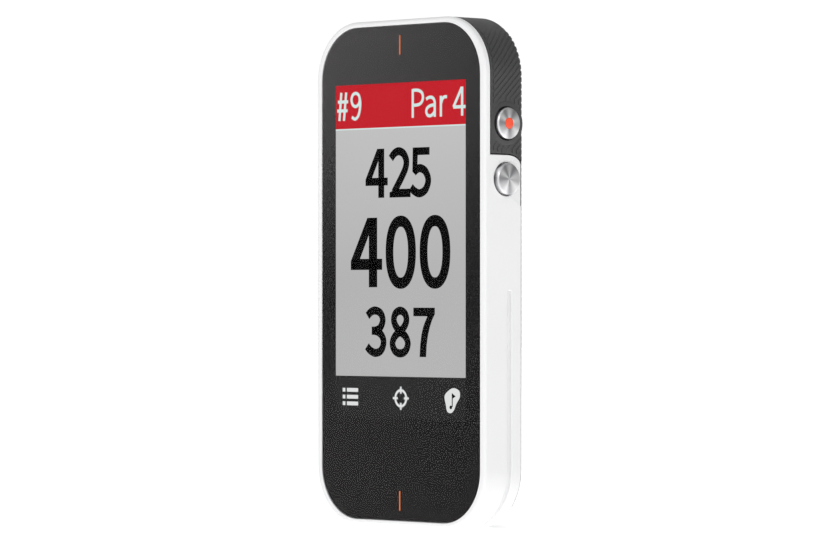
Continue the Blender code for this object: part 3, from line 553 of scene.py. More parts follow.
def frame_edge_cutter():
    """Rounds the front frame's rear edge where it runs up the sides and over the top."""
    rows = [(SEAM_FRONT - SEAM_ROUND * (1 - math.sin(turn)), SEAM_ROUND * (1 - math.cos(turn)))
            for turn in arc(0, 90, 5)]
    sections = [(depth, case_outline(2, 0, shrink)) for depth, shrink in rows]
    sections += [(SEAM_FRONT + 0.3, case_outline(2, 0, SEAM_ROUND)),
                 (SEAM_FRONT + 0.3, case_outline(2, 0, -0.6)),
                 (SEAM_FRONT - SEAM_ROUND, case_outline(2, 0, -0.6))]
    cutter = mesh_object("frame_edge_cutter", loft(sections, closed=True))
    upper = mesh_object("upper_half", block((-60, 60), (-5, 10), (SEAM_HEIGHT, HEIGHT + 10)))
    return combine(cutter, "INTERSECT", upper)


def glass_outline(grow):
    return outline(GLASS_HALF + grow, GLASS_LOW - grow, GLASS_HIGH + grow, GLASS_CORNER + grow)


# ---- White front housing -------------------------------------------------------------------------


def side_frame(angle):
    """Where the side's skin is and its outward direction, this many degrees below the straight part."""
    turn = math.radians(angle)
    return (HALF_WIDTH - CORNER + CORNER * math.cos(turn), CORNER - CORNER * math.sin(turn),
            Vector((math.cos(turn), 0, -math.sin(turn))))


def groove_section():
    """(across, outwards) of the groove: a round floor and walls that roll over into the skin."""
    reach, lip = GROOVE_RADIUS + GROOVE_LIP, GROOVE_LIP
    half = [(reach, GROOVE_CLEAR)]
    half += [(reach - lip * math.sin(turn), -lip * (1 - math.cos(turn))) for turn in arc(0, 90, 4)]
    half += [(GROOVE_RADIUS * math.cos(turn), -lip - GROOVE_WALL - GROOVE_RADIUS * math.sin(turn))
             for turn in arc(0, 90, 6)]
    return half


def groove_cutter(side):
    """The groove down one side and round its lower corner, as a sweep of its section."""
    half = groove_section()
    section = half + [(-across, outwards) for across, outwards in half[-2::-1]]
    stations = [(HALF_WIDTH, z, Vector((1, 0, 0))) for z in (GROOVE_TOP, DETENT_HEIGHT, CORNER)]
    stations += [side_frame(GROOVE_END_ANGLE * step / 24) for step in range(1, 25)]
    bm = bmesh.new()
    rings = []
    for x, z, normal in stations:
        rings.append([bm.verts.new((side * (x + outwards * normal.x), y_at(GROOVE_DEPTH + across),
                                    z + outwards * normal.z)) for across, outwards in section])
    bridge(bm, rings)
    bm.faces.new(rings[0])
    bm.faces.new(rings[-1][::-1])
    run = mesh_object("groove_run", bm)
    floor = half[-1][1]
    end = turned([(outwards, max(across, 0.0)) for across, outwards in half] + [(GROOVE_CLEAR, 0.0)],
                 (side * HALF_WIDTH, y_at(GROOVE_DEPTH), GROOVE_TOP), (side, 0, 0))
    x, z, normal = side_frame(GROOVE_END_ANGLE)
    foot = turned([(outwards, max(across, 0.0)) for across, outwards in half] + [(GROOVE_CLEAR, 0.0)],
                  (side * x, y_at(GROOVE_DEPTH), z), (side * normal.x, 0, normal.z))
    return [run, mesh_object("groove_end", end), mesh_object("groove_foot", foot)], floor


def detent(side, floor):
    """The low bump in the groove's floor that a holder snaps over."""
    bm = bmesh.new()
    bmesh.ops.create_uvsphere(bm, u_segments=32, v_segments=24, radius=1.0)
    bm.transform(Matrix.Translation((side * (HALF_WIDTH + floor), y_at(GROOVE_DEPTH + 0.1), DETENT_HEIGHT))
                 @ Matrix.Diagonal((0.62, GROOVE_RADIUS + 0.25, DETENT_LENGTH, 1.0)))
    return mesh_object("detent", bm)


def well_cutter(z, radius=WELL_RADIUS, lip=WELL_LIP):
    """A round well for a button, with a rolled lip, and the hole for its stem."""
    profile = [(-WELL_SUNK, STEM_RADIUS + GAP), (-WELL_SUNK, radius), (-lip, radius)]
    profile += [(-lip + lip * math.sin(turn), radius + lip * (1 - math.cos(turn)))
                for turn in arc(0, 90, 6)[1:]]
    profile += [(2.0, radius + lip), (2.0, 0.0), (-6.0, 0.0), (-6.0, STEM_RADIUS + GAP)]
    return mesh_object("well", turned(profile, (HALF_WIDTH, y_at(BUTTON_DEPTH), z), (1, 0, 0), 96))


def finger_ramp(z):
    """A shallow ramp from the lower button back to the case's rear edge."""
    near, far = BUTTON_DEPTH + 0.6, SIDE_DEPTH + 1.5
    bm = bmesh.new()
    corners = []
    for depth, sunk, low_half, high_half in ((near, 0.0, 3.6, 4.2), (far, 0.62, 7.4, 9.2)):
        floor, top = HALF_WIDTH - sunk, HALF_WIDTH + 1.0
        corners.append([bm.verts.new(point) for point in (
            (floor, y_at(depth), z - low_half), (floor, y_at(depth), z + low_half),
            (top, y_at(depth), z + high_half), (top, y_at(depth), z - high_half))])
    bridge(bm, corners)
    bm.faces.new(corners[0])
    bm.faces.new(corners[1][::-1])
    return mesh_object("finger_ramp", bm)


def rods(places, first, last, radius, segments=32):
    bm = bmesh.new()
    for x, z in places:
        centre = Matrix.Translation((x, y_at((first + last) / 2), z)) @ Matrix.Rotation(math.pi / 2, 4, "X")
        bmesh.ops.create_cone(bm, cap_ends=True, segments=segments, radius1=radius, radius2=radius,
                              depth=last - first, matrix=centre)
    return mesh_object("rods", bm)


def hollow(first):
    """The case's inside, less what stands round the screws."""
    sections = [(first, case_outline(first, WALL))]
    sections += [(depth, case_outline(depth, WALL)) for depth in case_depths(first, DEPTH - WALL, WALL)]
    sections.append((DEPTH - WALL, case_outline(DEPTH - WALL, WALL)))
    obj = mesh_object("hollow", loft(sections))
    return combine(obj, "DIFFERENCE", rods(SCREW_PLACES, 8.3, DEPTH, 3.2))


def front_housing(finish):
    rim = [(LEDGE_FRONT, glass_outline(GLASS_CLEARANCE)), (RIM_CHAMFER, glass_outline(GLASS_CLEARANCE)),
           (0.0, glass_outline(GLASS_CLEARANCE + RIM_CHAMFER))]
    rim += [(FRONT_ROUND * (1 - math.cos(turn)), case_outline(0, 0, FRONT_ROUND * (1 - math.sin(turn))))
            for turn in arc(0, 90, 10)]
    last = SEAM_REAR - SEAM_ROUND
    walls = [(depth, case_outline(depth)) for depth in (*case_depths(FRONT_ROUND + 0.1, last), last)]
    heel = [(last + SEAM_ROUND * math.sin(turn), case_outline(last, 0, SEAM_ROUND * (1 - math.cos(turn))))
            for turn in arc(0, 90, 5)[1:]]
    obj = mesh_object("front_housing_shell", loft(rim + walls + heel), finish)
    window = outline(WINDOW_HALF, WINDOW_LOW, WINDOW_HIGH, 1.5)
    combine(obj, "DIFFERENCE", seam_cutter(True, 0.0, -1), frame_edge_cutter(), hollow(LEDGE_BACK),
            mesh_object("window", loft([(0.5, window), (4.0, window)])))
    lower_z, upper_z = button_height("lower"), button_height("upper")
    combine(obj, "DIFFERENCE", finger_ramp(lower_z), well_cutter(lower_z), well_cutter(upper_z))
    for side in (-1, 1):
        cutters, floor = groove_cutter(side)
        combine(obj, "DIFFERENCE", *cutters)
        combine(obj, "UNION", detent(side, floor))
    piece("front_housing_shell", obj, finish, replaces=["front_housing"])
    return even_normals(obj)


# ---- Dark rear housing and its ribs --------------------------------------------------------------


def rear_housing(finish):
    first = SEAM_FRONT + GAP
    sections = [(first + SEAM_ROUND * (1 - math.cos(turn)),
                 case_outline(2, 0, SEAM_ROUND * (1 - math.sin(turn)))) for turn in arc(0, 90, 5)]
    sections += [(depth, case_outline(depth)) for depth in case_depths(first + SEAM_ROUND + 0.1, DEPTH)]
    sections.append((DEPTH, case_outline(DEPTH)))
    obj = mesh_object("rear_housing_shell", loft(sections), finish)
    combine(obj, "DIFFERENCE", seam_cutter(False, GAP, 1), hollow(first - 1.0))
    collar = [(-0.5, WELL_RADIUS), (COLLAR_HEIGHT - 0.1, WELL_RADIUS), (COLLAR_HEIGHT, WELL_RADIUS + 0.1),
              (COLLAR_HEIGHT, COLLAR_RADIUS - 0.5), (COLLAR_HEIGHT * 0.5, COLLAR_RADIUS - 0.1),
              (-0.05, COLLAR_RADIUS), (-0.5, COLLAR_RADIUS)]
    upper_z, lower_z = button_height("upper"), button_height("lower")
    place = (HALF_WIDTH, y_at(BUTTON_DEPTH), upper_z)
    combine(obj, "UNION", mesh_object("collar", turned(collar, place, (1, 0, 0), 96)), port_surround())
    combine(obj, "DIFFERENCE", well_cutter(upper_z, lip=0.05), well_cutter(lower_z),
            rods(SCREW_PLACES, SCREW_SEAT, DEPTH + 2, COUNTERBORE_RADIUS, 48), rods(SCREW_PLACES, 6, 12, 1.1),
            rods([(0, VENT_HEIGHT)], DEPTH - 4, DEPTH + 1, VENT_RADIUS), *port_cutters())
    piece("rear_housing_shell", obj, finish, replaces=["rear_housing"])
    return even_normals(obj)


def port_surround():
    """The walls round the charging port's well and behind the flap."""
    bm = block((-PORT_HALF_WIDTH - 1.2, PORT_HALF_WIDTH + 1.2), (PORT_FLOOR - 1.2, DEPTH - 0.6),
               (PORT_HEIGHT - PORT_HALF_HEIGHT - 1.2, PORT_HEIGHT + PORT_HALF_HEIGHT + 1.2))
    obj = mesh_object("port_surround", bm)
    pad = block((-FLAP_HALF - 1.4, FLAP_HALF + 1.4), (DEPTH - FLAP_SEAT - 1.4, DEPTH - 0.5),
                (FLAP_LOW + 0.4, ANCHOR_TOP + 1.7))
    return combine(obj, "UNION", mesh_object("flap_pad", pad))


def port_cutters():
    well = outline(PORT_HALF_WIDTH, PORT_HEIGHT - PORT_HALF_HEIGHT, PORT_HEIGHT + PORT_HALF_HEIGHT, 1.2, 8)
    slot = outline(4.1, PORT_HEIGHT - 1.65, PORT_HEIGHT + 1.65, 1.6, 8)
    seat = outline(FLAP_HALF + GAP, FLAP_LOW - GAP, ANCHOR_TOP + GAP, 1.5, 8)
    return [mesh_object("port_cutter", loft([(front, points), (back, points)]))
            for points, front, back in ((well, PORT_FLOOR, DEPTH + 1), (slot, PORT_FLOOR - 3, PORT_FLOOR + 1),
                                        (seat, DEPTH - FLAP_SEAT, DEPTH + 1))]


def smooth(low, high, value):
    share = min(max((value - low) / (high - low), 0.0), 1.0)
    return share * share * (3 - 2 * share)


def skin_path():
    """Points of the case's profile from the seam to the back, as (run, depth, inset, tilt in degrees)."""
    points = [(depth, 0.0) for depth in (SEAM_FRONT + GAP + 0.7 * step for step in range(14))]
    points += [(depth, inset) for depth, inset in case_profile(0.0, 3, 6)]
    spaced = []
    for (d0, i0), (d1, i1) in zip(points, points[1:]):
        parts = max(1, round(math.hypot(d1 - d0, i1 - i0) / 0.8))
        spaced += [(d0 + (d1 - d0) * k / parts, i0 + (i1 - i0) * k / parts) for k in range(parts)]
    spaced.append(points[-1])
    path, run = [], 0.0
    for k, (depth, inset) in enumerate(spaced):
        before, after = spaced[max(k - 1, 0)], spaced[min(k + 1, len(spaced) - 1)]
        if k:
            run += math.hypot(depth - spaced[k - 1][0], inset - spaced[k - 1][1])
        tilt = math.atan2(after[1] - before[1], after[0] - before[0])
        path.append((run, depth, inset, tilt))
    return path


def skin_point(along, depth, inset, tilt, lift):
    """A point on the right-hand skin, this far up the side from z = 0, and lifted off it by lift."""
    half_width, top = HALF_WIDTH - inset, HEIGHT - inset
    radius = min(CORNER, half_width - 0.6)
    low = base_at(depth)
    straight = (CORNER, HEIGHT - CORNER)
    out, back = lift * math.cos(tilt), lift * math.sin(tilt)
    if along < straight[0]:
        turn = max((along - straight[0]) / CORNER, -math.pi / 2)
        centre_z = low + radius
    elif along > straight[1]:
        turn = min((along - straight[1]) / CORNER, math.pi / 2)
        centre_z = top - radius
    else:
        share = (along - straight[0]) / (straight[1] - straight[0])
        turn, centre_z = 0.0, low + radius + share * (top - low - 2 * radius)
    x = half_width - radius + (radius + out) * math.cos(turn)
    z = centre_z + (radius + out) * math.sin(turn)
    return x, y_at(depth) + back, z


def rib_strength(along, depth, x, z):
    """1 where a rib has its full height, 0 where it has sunk into the skin."""
    corner_run = [CORNER * math.radians(angle) for angle in (RIB_FADE_START, RIB_FADE_END)]
    upper = smooth(corner_run[1], corner_run[0], along - (HEIGHT - CORNER))
    lower = smooth(corner_run[1], corner_run[0], CORNER - along)
    share = min(max((min(depth, SEAM_REAR) - (SEAM_REAR - SEAM_BEND_DEPTH)) / SEAM_BEND_DEPTH, 0.0), 1.0)
    seam_z = SEAM_HEIGHT - SEAM_BEND_DROP * (1 - math.sqrt(1 - share**2))
    from_seam = min(max(z - seam_z - GAP, depth - SEAM_REAR - GAP), depth - SEAM_FRONT - GAP)
    at_seam = smooth(0.3, 0.75, from_seam)
    from_button = math.hypot(depth - BUTTON_DEPTH, z - button_height("upper")) - COLLAR_RADIUS
    at_button = smooth(0.05, 0.6, from_button)
    at_back = smooth(DEPTH - 0.15, DEPTH - 1.6, depth)
    at_screws = min(smooth(0.4, 1.0, math.hypot(x - abs(sx), z - sz) - COUNTERBORE_RADIUS)
                    for sx, sz in SCREW_PLACES)
    return upper * lower * at_seam * at_button * at_back * at_screws


def ribs(finish):
    """Every band as its own closed strip that starts and ends just under the skin."""
    path = skin_path()
    half = RIB_WIDTH / 2
    section = [(-half, -RIB_FOOT), (-half + RIB_BEVEL, 1.0), (half - RIB_BEVEL, 1.0), (half, -RIB_FOOT),
               (half, -RIB_SUNK), (-half, -RIB_SUNK)]
    bm = bmesh.new()
    first = math.floor(-RIB_SLOPE * path[-1][0] / RIB_PITCH)
    for number in range(first, math.ceil((HEIGHT + 10) / RIB_PITCH)):
        for side in (-1, 1):
            strip = []
            for run, depth, inset, tilt in path:
                middle = RIB_PITCH * number + RIB_SLOPE * run
                if not 0 < middle < HEIGHT + 8:
                    continue
                x, _, z = skin_point(middle, depth, inset, tilt, 0.0)
                strength = rib_strength(middle, depth, x, z)
                if strength > 0.02:
                    strip.append((middle, depth, inset, tilt, strength))
                    continue
                add_strip(bm, strip, section, side)
                strip = []
            add_strip(bm, strip, section, side)
    return piece("rear_housing_ribs", bm, finish)


def add_strip(bm, strip, section, side):
    """One band through its stations. A section point above the skin is a share of the local height."""
    if len(strip) < 2:
        return
    rings = []
    for middle, depth, inset, tilt, strength in strip:
        ring = []
        for across, rise in section:
            lift = RIB_HEIGHT * strength * rise if rise > 0 else rise
            x, y, z = skin_point(middle + across, depth, inset, tilt, lift)
            ring.append(bm.verts.new((side * x, y, z)))
        rings.append(ring)
    bridge(bm, rings)
    bm.faces.new(rings[0])
    bm.faces.new(rings[-1][::-1])


# ---- Glass, border and picture -------------------------------------------------------------------


def glass(finishes):
    pane = soft_plate(lambda inset: glass_outline(-inset), 0.05, 0.14, 0.07)
    piece("cover_glass_pane", pane, finishes["cover_glass"], replaces=["cover_glass"])
    border = loft([(PRINT_DEPTH, glass_outline(-0.05)), (1.15, glass_outline(-0.05))])
    piece("glass_border", border, border_print_painted_reflection())


def layer_plate(name, points, level, finish):
    """A thin plate of the picture. Level 0 is its lowest layer."""
    front = PRINT_DEPTH - LAYER * (level + 1)
    return piece(name, loft([(front, points), (front + LAYER * 0.8, points)]), finish, sharp=20)


def rectangle(x0, x1, z0, z1):
    return [(x1, z0), (x1, z1), (x0, z1), (x0, z0)]


def catmull(points, closed=False, steps=6):
    """A smooth line through points."""
    count = len(points)
    line = []
    for i in range(count if closed else count - 1):
        if closed:
            a, b, c, d = (Vector(points[(i + k) % count]) for k in (-1, 0, 1, 2))
        else:
            a, b, c, d = (Vector(points[min(max(i + k, 0), count - 1)]) for k in (-1, 0, 1, 2))
        for step in range(steps):
            t = step / steps
            line.append(0.5 * (2 * b + (c - a) * t + (2 * a - 5 * b + 4 * c - d) * t * t
                               + (3 * b - 3 * c + d - a) * t**3))
    if not closed:
        line.append(Vector(points[-1]))
    return line


def add_prism(bm, points, front, back):
    """A thin solid from an outline, whatever way round the outline runs."""
    rings = [[bm.verts.new((x, y_at(depth), z)) for x, z in points] for depth in (front, back)]
    bridge(bm, rings)
    bm.faces.new(rings[0])
    bm.faces.new(rings[1][::-1])


def add_stroke(bm, line, width, front, back, closed=False):
    """A band of constant width along a line, as a thin solid with square ends."""
    count = len(line)
    rows = []
    for i, point in enumerate(line):
        if closed:
            run = line[(i + 1) % count] - line[i - 1]
        else:
            run = line[min(i + 1, count - 1)] - line[max(i - 1, 0)]
        across = Vector((-run.y, run.x)).normalized() * (width / 2)
        rows.append([bm.verts.new((p.x, y_at(depth), p.y))
                     for p, depth in ((point + across, front), (point - across, front),
                                      (point - across, back), (point + across, back))])
    bridge(bm, rows, closed)
    if not closed:
        bm.faces.new(rows[0])
        bm.faces.new(rows[-1][::-1])


# Figures for a height of 1. "line" is a smooth stroke, "loop" a closed one and "shape" a filled outline.
BOLD = {
    "4": [("shape", [(0, 0.25), (0, 0.379), (0.354, 1), (0.562, 1), (0.386, 0.754), (0.195, 0.407),
                     (0.12, 0.25)]),
          ("shape", [(0.02, 0.25), (0.668, 0.25), (0.668, 0.409), (0.02, 0.409)]),
          ("shape", [(0.386, 0), (0.562, 0), (0.562, 1), (0.386, 1)])],
    "2": [("line", [(0.045, 0.795), (0.145, 0.892), (0.275, 0.936), (0.42, 0.885), (0.505, 0.745),
                    (0.485, 0.60), (0.40, 0.455), (0.245, 0.245), (0.135, 0.10)]),
          ("shape", [(0.005, 0), (0.63, 0), (0.63, 0.172), (0.20, 0.172), (0.005, 0.105)])],
    "5": [("shape", [(0.095, 1), (0.59, 1), (0.59, 0.845), (0.095, 0.845)]),
          ("shape", [(0.095, 1), (0.248, 1), (0.232, 0.62), (0.17, 0.45), (0.085, 0.51)]),
          ("line", [(0.13, 0.50), (0.215, 0.557), (0.325, 0.578), (0.47, 0.51), (0.553, 0.335), (0.47, 0.145),
                    (0.295, 0.072), (0.14, 0.12), (0.04, 0.2)])],
    "0": [("loop", None)],
    "3": [("line", [(0.06, 0.83), (0.165, 0.91), (0.30, 0.94), (0.455, 0.885), (0.522, 0.745), (0.455, 0.60),
                    (0.33, 0.535), (0.19, 0.527)]),
          ("line", [(0.19, 0.527), (0.35, 0.512), (0.49, 0.43), (0.548, 0.29), (0.475, 0.13), (0.31, 0.072),
                    (0.15, 0.118), (0.042, 0.205)])],
    "8": [("loop", [(0.317, 0.938), (0.452, 0.885), (0.506, 0.76), (0.455, 0.63), (0.325, 0.52),
                    (0.16, 0.415), (0.087, 0.266), (0.16, 0.12), (0.317, 0.068), (0.474, 0.12),
                    (0.547, 0.266), (0.474, 0.415),
                    (0.30, 0.52), (0.175, 0.635), (0.128, 0.76), (0.182, 0.885)])],
    "7": [("shape", [(0, 1), (0.634, 1), (0.634, 0.87), (0.60, 0.826), (0, 0.826)]),
          ("shape", [(0.634, 0.87), (0.553, 0.75), (0.489, 0.61), (0.435, 0.45), (0.395, 0.25), (0.376, 0),
                     (0.185, 0), (0.205, 0.25), (0.24, 0.45), (0.292, 0.61), (0.35, 0.72), (0.42, 0.83)])],
}
LIGHT = {
    "#": [("line", [(0.215, 1), (0.115, 0)]), ("line", [(0.472, 1), (0.353, 0)]),
          ("line", [(0.037, 0.67), (0.573, 0.67)]), ("line", [(0, 0.354), (0.54, 0.354)])],
    "9": [("loop", [(0.265, 0.955), (0.42, 0.89), (0.48, 0.73), (0.42, 0.56), (0.265, 0.485), (0.11, 0.56),
                    (0.05, 0.73), (0.11, 0.89)]),
          ("line", [(0.48, 0.76), (0.51, 0.62), (0.49, 0.40), (0.43, 0.20), (0.33, 0.08), (0.21, 0.045),
                    (0.07, 0.12)])],
    "P": [("line", [(0.055, 0), (0.055, 1)]),
          ("line", [(0.055, 0.957), (0.27, 0.957), (0.44, 0.915), (0.54, 0.83), (0.575, 0.70), (0.53, 0.56),
                    (0.42, 0.475), (0.26, 0.44), (0.055, 0.44)])],
    "a": [("line", [(0.05, 0.625), (0.15, 0.672), (0.28, 0.69), (0.41, 0.645), (0.48, 0.52), (0.485, 0.35),
                    (0.485, 0)]),
          ("line", [(0.485, 0.42), (0.29, 0.40), (0.12, 0.33), (0.055, 0.20), (0.12, 0.075), (0.25, 0.042),
                    (0.38, 0.09), (0.485, 0.20)])],
    "r": [("line", [(0.055, 0), (0.055, 0.72)]),
          ("line", [(0.055, 0.43), (0.12, 0.59), (0.22, 0.675), (0.36, 0.675)])],
    "4": [("line", [(0.45, 0.985), (0.03, 0.31)]), ("line", [(0.02, 0.31), (0.634, 0.31)]),
          ("line", [(0.463, 0), (0.463, 1)])],
}
STRAIGHT = 2  # a stroke of only two points stays straight


def superellipse(half_width, half_height, centre, power=2.25, count=48):
    line = []
    for k in range(count):
        turn = 2 * math.pi * k / count
        c, s = math.cos(turn), math.sin(turn)
        line.append(Vector((centre[0] + half_width * math.copysign(abs(c) ** (2 / power), c),
                            centre[1] + half_height * math.copysign(abs(s) ** (2 / power), s))))
    return line


def figure(name, glyph, x, z, height, stroke, finish, level=1):
    """One figure, with its lower left corner at (x, z)."""
    front = PRINT_DEPTH - LAYER * (level + 1)
    back = front + LAYER * 0.8
    bm = bmesh.new()
    for kind, points in glyph:
        if points is None:
            half = 0.633 * height / 2
            line = superellipse(half - stroke / 2, (1.048 * height - stroke) / 2, (x + half, z + height / 2))
            add_stroke(bm, line, stroke, front, back, True)
            continue
        places = [Vector((x + px * height, z + pz * height)) for px, pz in points]
        if kind == "shape":
            add_prism(bm, places, front, back)
        elif len(places) == STRAIGHT:
            add_stroke(bm, places, stroke, front, back)
        else:
            add_stroke(bm, catmull(places, kind == "loop"), stroke, front, back, kind == "loop")
    return piece(name, bm, finish, sharp=20)


def icon_disc(bm, centre, radius, front, back, count=40):
    turns = [2 * math.pi * k / count for k in range(count)]
    points = [(centre[0] + radius * math.cos(turn), centre[1] + radius * math.sin(turn)) for turn in turns]
    add_prism(bm, points, front, back)


def toolbar_icons(finish, dark):
    """A list, a target and a green with its flag."""
    front = PRINT_DEPTH - LAYER * 2
    back = front + LAYER * 0.8
    bm = bmesh.new()
    for z in (33.2, 31.5, 29.85):
        add_prism(bm, rectangle(-20.75, -19.8, z - 0.47, z + 0.47), front, back)
        add_prism(bm, rectangle(-19.2, -15.1, z - 0.47, z + 0.47), front, back)
    piece("icon_list", bm, finish)
    bm = bmesh.new()
    centre = Vector((0.4, 31.4))
    ring = [centre + 1.95 * Vector((math.cos(a), math.sin(a))) for a in arc(0, 352, 44)]
    add_stroke(bm, ring, 0.62, front, back, True)
    for quarter in range(4):
        way = Matrix.Rotation(math.pi / 2 * quarter, 2) @ Vector((1, 0))
        add_stroke(bm, [centre + 1.1 * way, centre + 2.85 * way], 0.55, front, back)
    piece("icon_target", bm, finish)
    bm = bmesh.new()
    shape = catmull([(17.5, 33.6), (19.3, 34.15), (21.1, 33.5), (21.3, 32.0), (20.1, 30.4), (19.3, 28.9),
                     (18.2, 28.1), (16.9, 28.5), (16.4, 30.2), (16.0, 32.2)], True)
    add_prism(bm, [(p.x, p.y) for p in shape], front, back)
    piece("icon_green", bm, finish)
    bm = bmesh.new()
    add_prism(bm, rectangle(18.55, 18.85, 29.6, 32.9), front - LAYER, back - LAYER)
    add_prism(bm, [(18.6, 32.9), (18.6, 31.5), (19.9, 32.2)], front - LAYER, back - LAYER)
    icon_disc(bm, (18.2, 29.5), 0.45, front - LAYER, back - LAYER)
    piece("icon_flag", bm, dark)


def picture():
    grey = lit("display_grey", (0.548, 0.548, 0.548), 0.84, 0.99)
    red = lit("display_red", (0.55, 0.013, 0.022))
    bar = lit("display_toolbar", (0.02, 0.02, 0.02))
    ink = lit("display_ink", (0.001, 0.001, 0.001))
    pale = lit("display_pale", (0.66, 0.80, 0.78))
    layer_plate("display_field", rectangle(-SCREEN_HALF, SCREEN_HALF, TOOLBAR_HIGH, BANNER_LOW), 0, grey)
    layer_plate("display_banner", rectangle(-SCREEN_HALF, SCREEN_HALF, BANNER_LOW, SCREEN_HIGH), 0, red)
    layer_plate("display_toolbar", rectangle(-SCREEN_HALF, SCREEN_HALF, SCREEN_LOW, TOOLBAR_HIGH), 0, bar)
    layer_plate("display_rule", rectangle(-SCREEN_HALF, SCREEN_HALF, BANNER_LOW - 0.32, BANNER_LOW), 1, pale)
    rows = (("front", "425", 80.5, 12.05, 2.02, (-12.36, -3.7, 3.55)),
            ("middle", "400", 58.55, 17.1, 2.75, (-17.75, -5.04, 7.17)),
            ("back", "387", 41.55, 12.0, 2.02, (-12.36, -3.62, 4.92)))
    for row, text, z, height, stroke, places in rows:
        for order, (letter, x) in enumerate(zip(text, places), 1):
            figure(f"distance_{row}_{order}", BOLD[letter], x, z, height, stroke, ink)
    words = (("hole", "#9", (-22.78, -17.86)), ("par", "Par4", (4.31, 9.12, 14.29, 18.89)))
    for word, text, places in words:
        for order, (letter, x) in enumerate(zip(text, places), 1):
            figure(f"banner_{word}_{order}", LIGHT[letter], x, 99.8, 6.98, 0.78, pale)
    toolbar_icons(pale_icon(), ink)
    orange = plastic("aiming_mark_orange", (0.78, 0.18, 0.03), 0.5, 0.08, 0.3, 0.004, 2.0)
    for name, low, high in (("aiming_mark_upper", 115.4, 120.1), ("aiming_mark_lower", 3.9, 8.7)):
        layer_plate(name, rectangle(-0.2, 0.2, low, high), 0, orange)


def pale_icon():
    return lit("display_icon", (0.74, 0.75, 0.75))


# ---- Buttons -------------------------------------------------------------------------------------


def button_height(which):
    low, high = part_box(which + "_button")
    return (low.z + high.z) / 2 / MM


def button(which, finishes):
    """A turned cap with a bright bevel, on its stem."""
    z = button_height(which)
    centre = (HALF_WIDTH, y_at(BUTTON_DEPTH), z)
    face, bevel = BUTTON_PROUD, BUTTON_CHAMFER
    stem = STEM_END - HALF_WIDTH
    head = [(face - 0.03, 0), (face, BUTTON_RADIUS - bevel - 0.08), (face - 0.02, BUTTON_RADIUS - bevel),
            (face - bevel * 0.92, BUTTON_RADIUS - 0.02), (face - bevel - 0.05, BUTTON_RADIUS),
            (-BUTTON_SUNK + 0.1, BUTTON_RADIUS), (-BUTTON_SUNK, BUTTON_RADIUS - 0.1)]
    if which == "upper":
        floor = face - 0.35
        head[:1] = [(floor, 0), (floor, DOT_RADIUS + 0.06), (face - 0.05, DOT_RADIUS + 0.06),
                    (face - 0.01, DOT_RADIUS + 0.12)]
        dome = [(floor + 0.02, 0), (floor + 0.02, DOT_RADIUS), (face - 0.06, DOT_RADIUS)]
        dome += [(face - 0.06 + 0.09 * math.sin(turn), DOT_RADIUS * math.cos(turn))
                 for turn in arc(10, 80, 6)]
        dome.append((face + 0.03, 0))
        piece("record_dot", turned(dome, centre, (1, 0, 0)), finishes["orange_enamel"],
              "upper_key", ["upper_button_dot"])
    profile = [*head, (-BUTTON_SUNK, STEM_RADIUS), (stem, STEM_RADIUS), (stem, 0)]
    return piece(which + "_cap", turned(profile, centre, (1, 0, 0), 128), spun_metal_painted_reflection(which + "_spun_face_painted_reflection", z),
                 which + "_key", [which + "_button"], sharp=24)


# ---- Back: screws, flap and strap ----------------------------------------------------------------


def screws(finishes):
    """Case screws with a round head and a six-lobed recess."""
    for number, (x, z) in enumerate(SCREW_PLACES, 1):
        seat = SCREW_SEAT + 0.15
        centre = (x, y_at(seat), z)
        head = [(-6.2, 0), (-6.2, 0.45), (-5.7, 0.75), (0, 0.75), (0, 1.9), (0.8, 1.9), (1.1, 1.72),
                (1.26, 1.35), (1.3, 0.9), (1.3, 0)]
        obj = mesh_object(f"case_screw_head_{number}", turned(head, centre, (0, 1, 0), 48),
                          finishes["black_steel"])
        lobes = bmesh.new()
        for k in range(6):
            turn = math.radians(60 * k)
            spot = (x + 0.62 * math.cos(turn), y_at(seat + 1.3), z + 0.62 * math.sin(turn))
            bmesh.ops.create_cone(lobes, cap_ends=True, segments=16, radius1=0.26, radius2=0.26, depth=1.7,
                                  matrix=Matrix.Translation(spot) @ Matrix.Rotation(math.pi / 2, 4, "X"))
        recess = [(0.45, 0), (0.45, 0.66), (2.2, 0.66), (2.2, 0)]
        middle = mesh_object("recess", turned(recess, centre, (0, 1, 0), 32))
        combine(obj, "DIFFERENCE", middle, mesh_object("lobes", lobes), solver="EXACT")
        piece(obj.name, obj, None, replaces=[f"case_screw_{number}"])


def cushion_plate(half, low, high, corner, front, back, rounding=0.35):
    """A plate with round corners and soft edges on both faces."""
    rows = []
    for face, inwards, start, end in ((front, 1, 0, 90), (back, -1, 90, 0)):
        for turn in arc(start, end, 4):
            inset = rounding * (1 - math.sin(turn))
            shape = outline(half - inset, low + inset, high - inset, max(corner - inset, 0.2), 10)
            rows.append((face + inwards * rounding * (1 - math.cos(turn)), shape))
    return loft(rows)


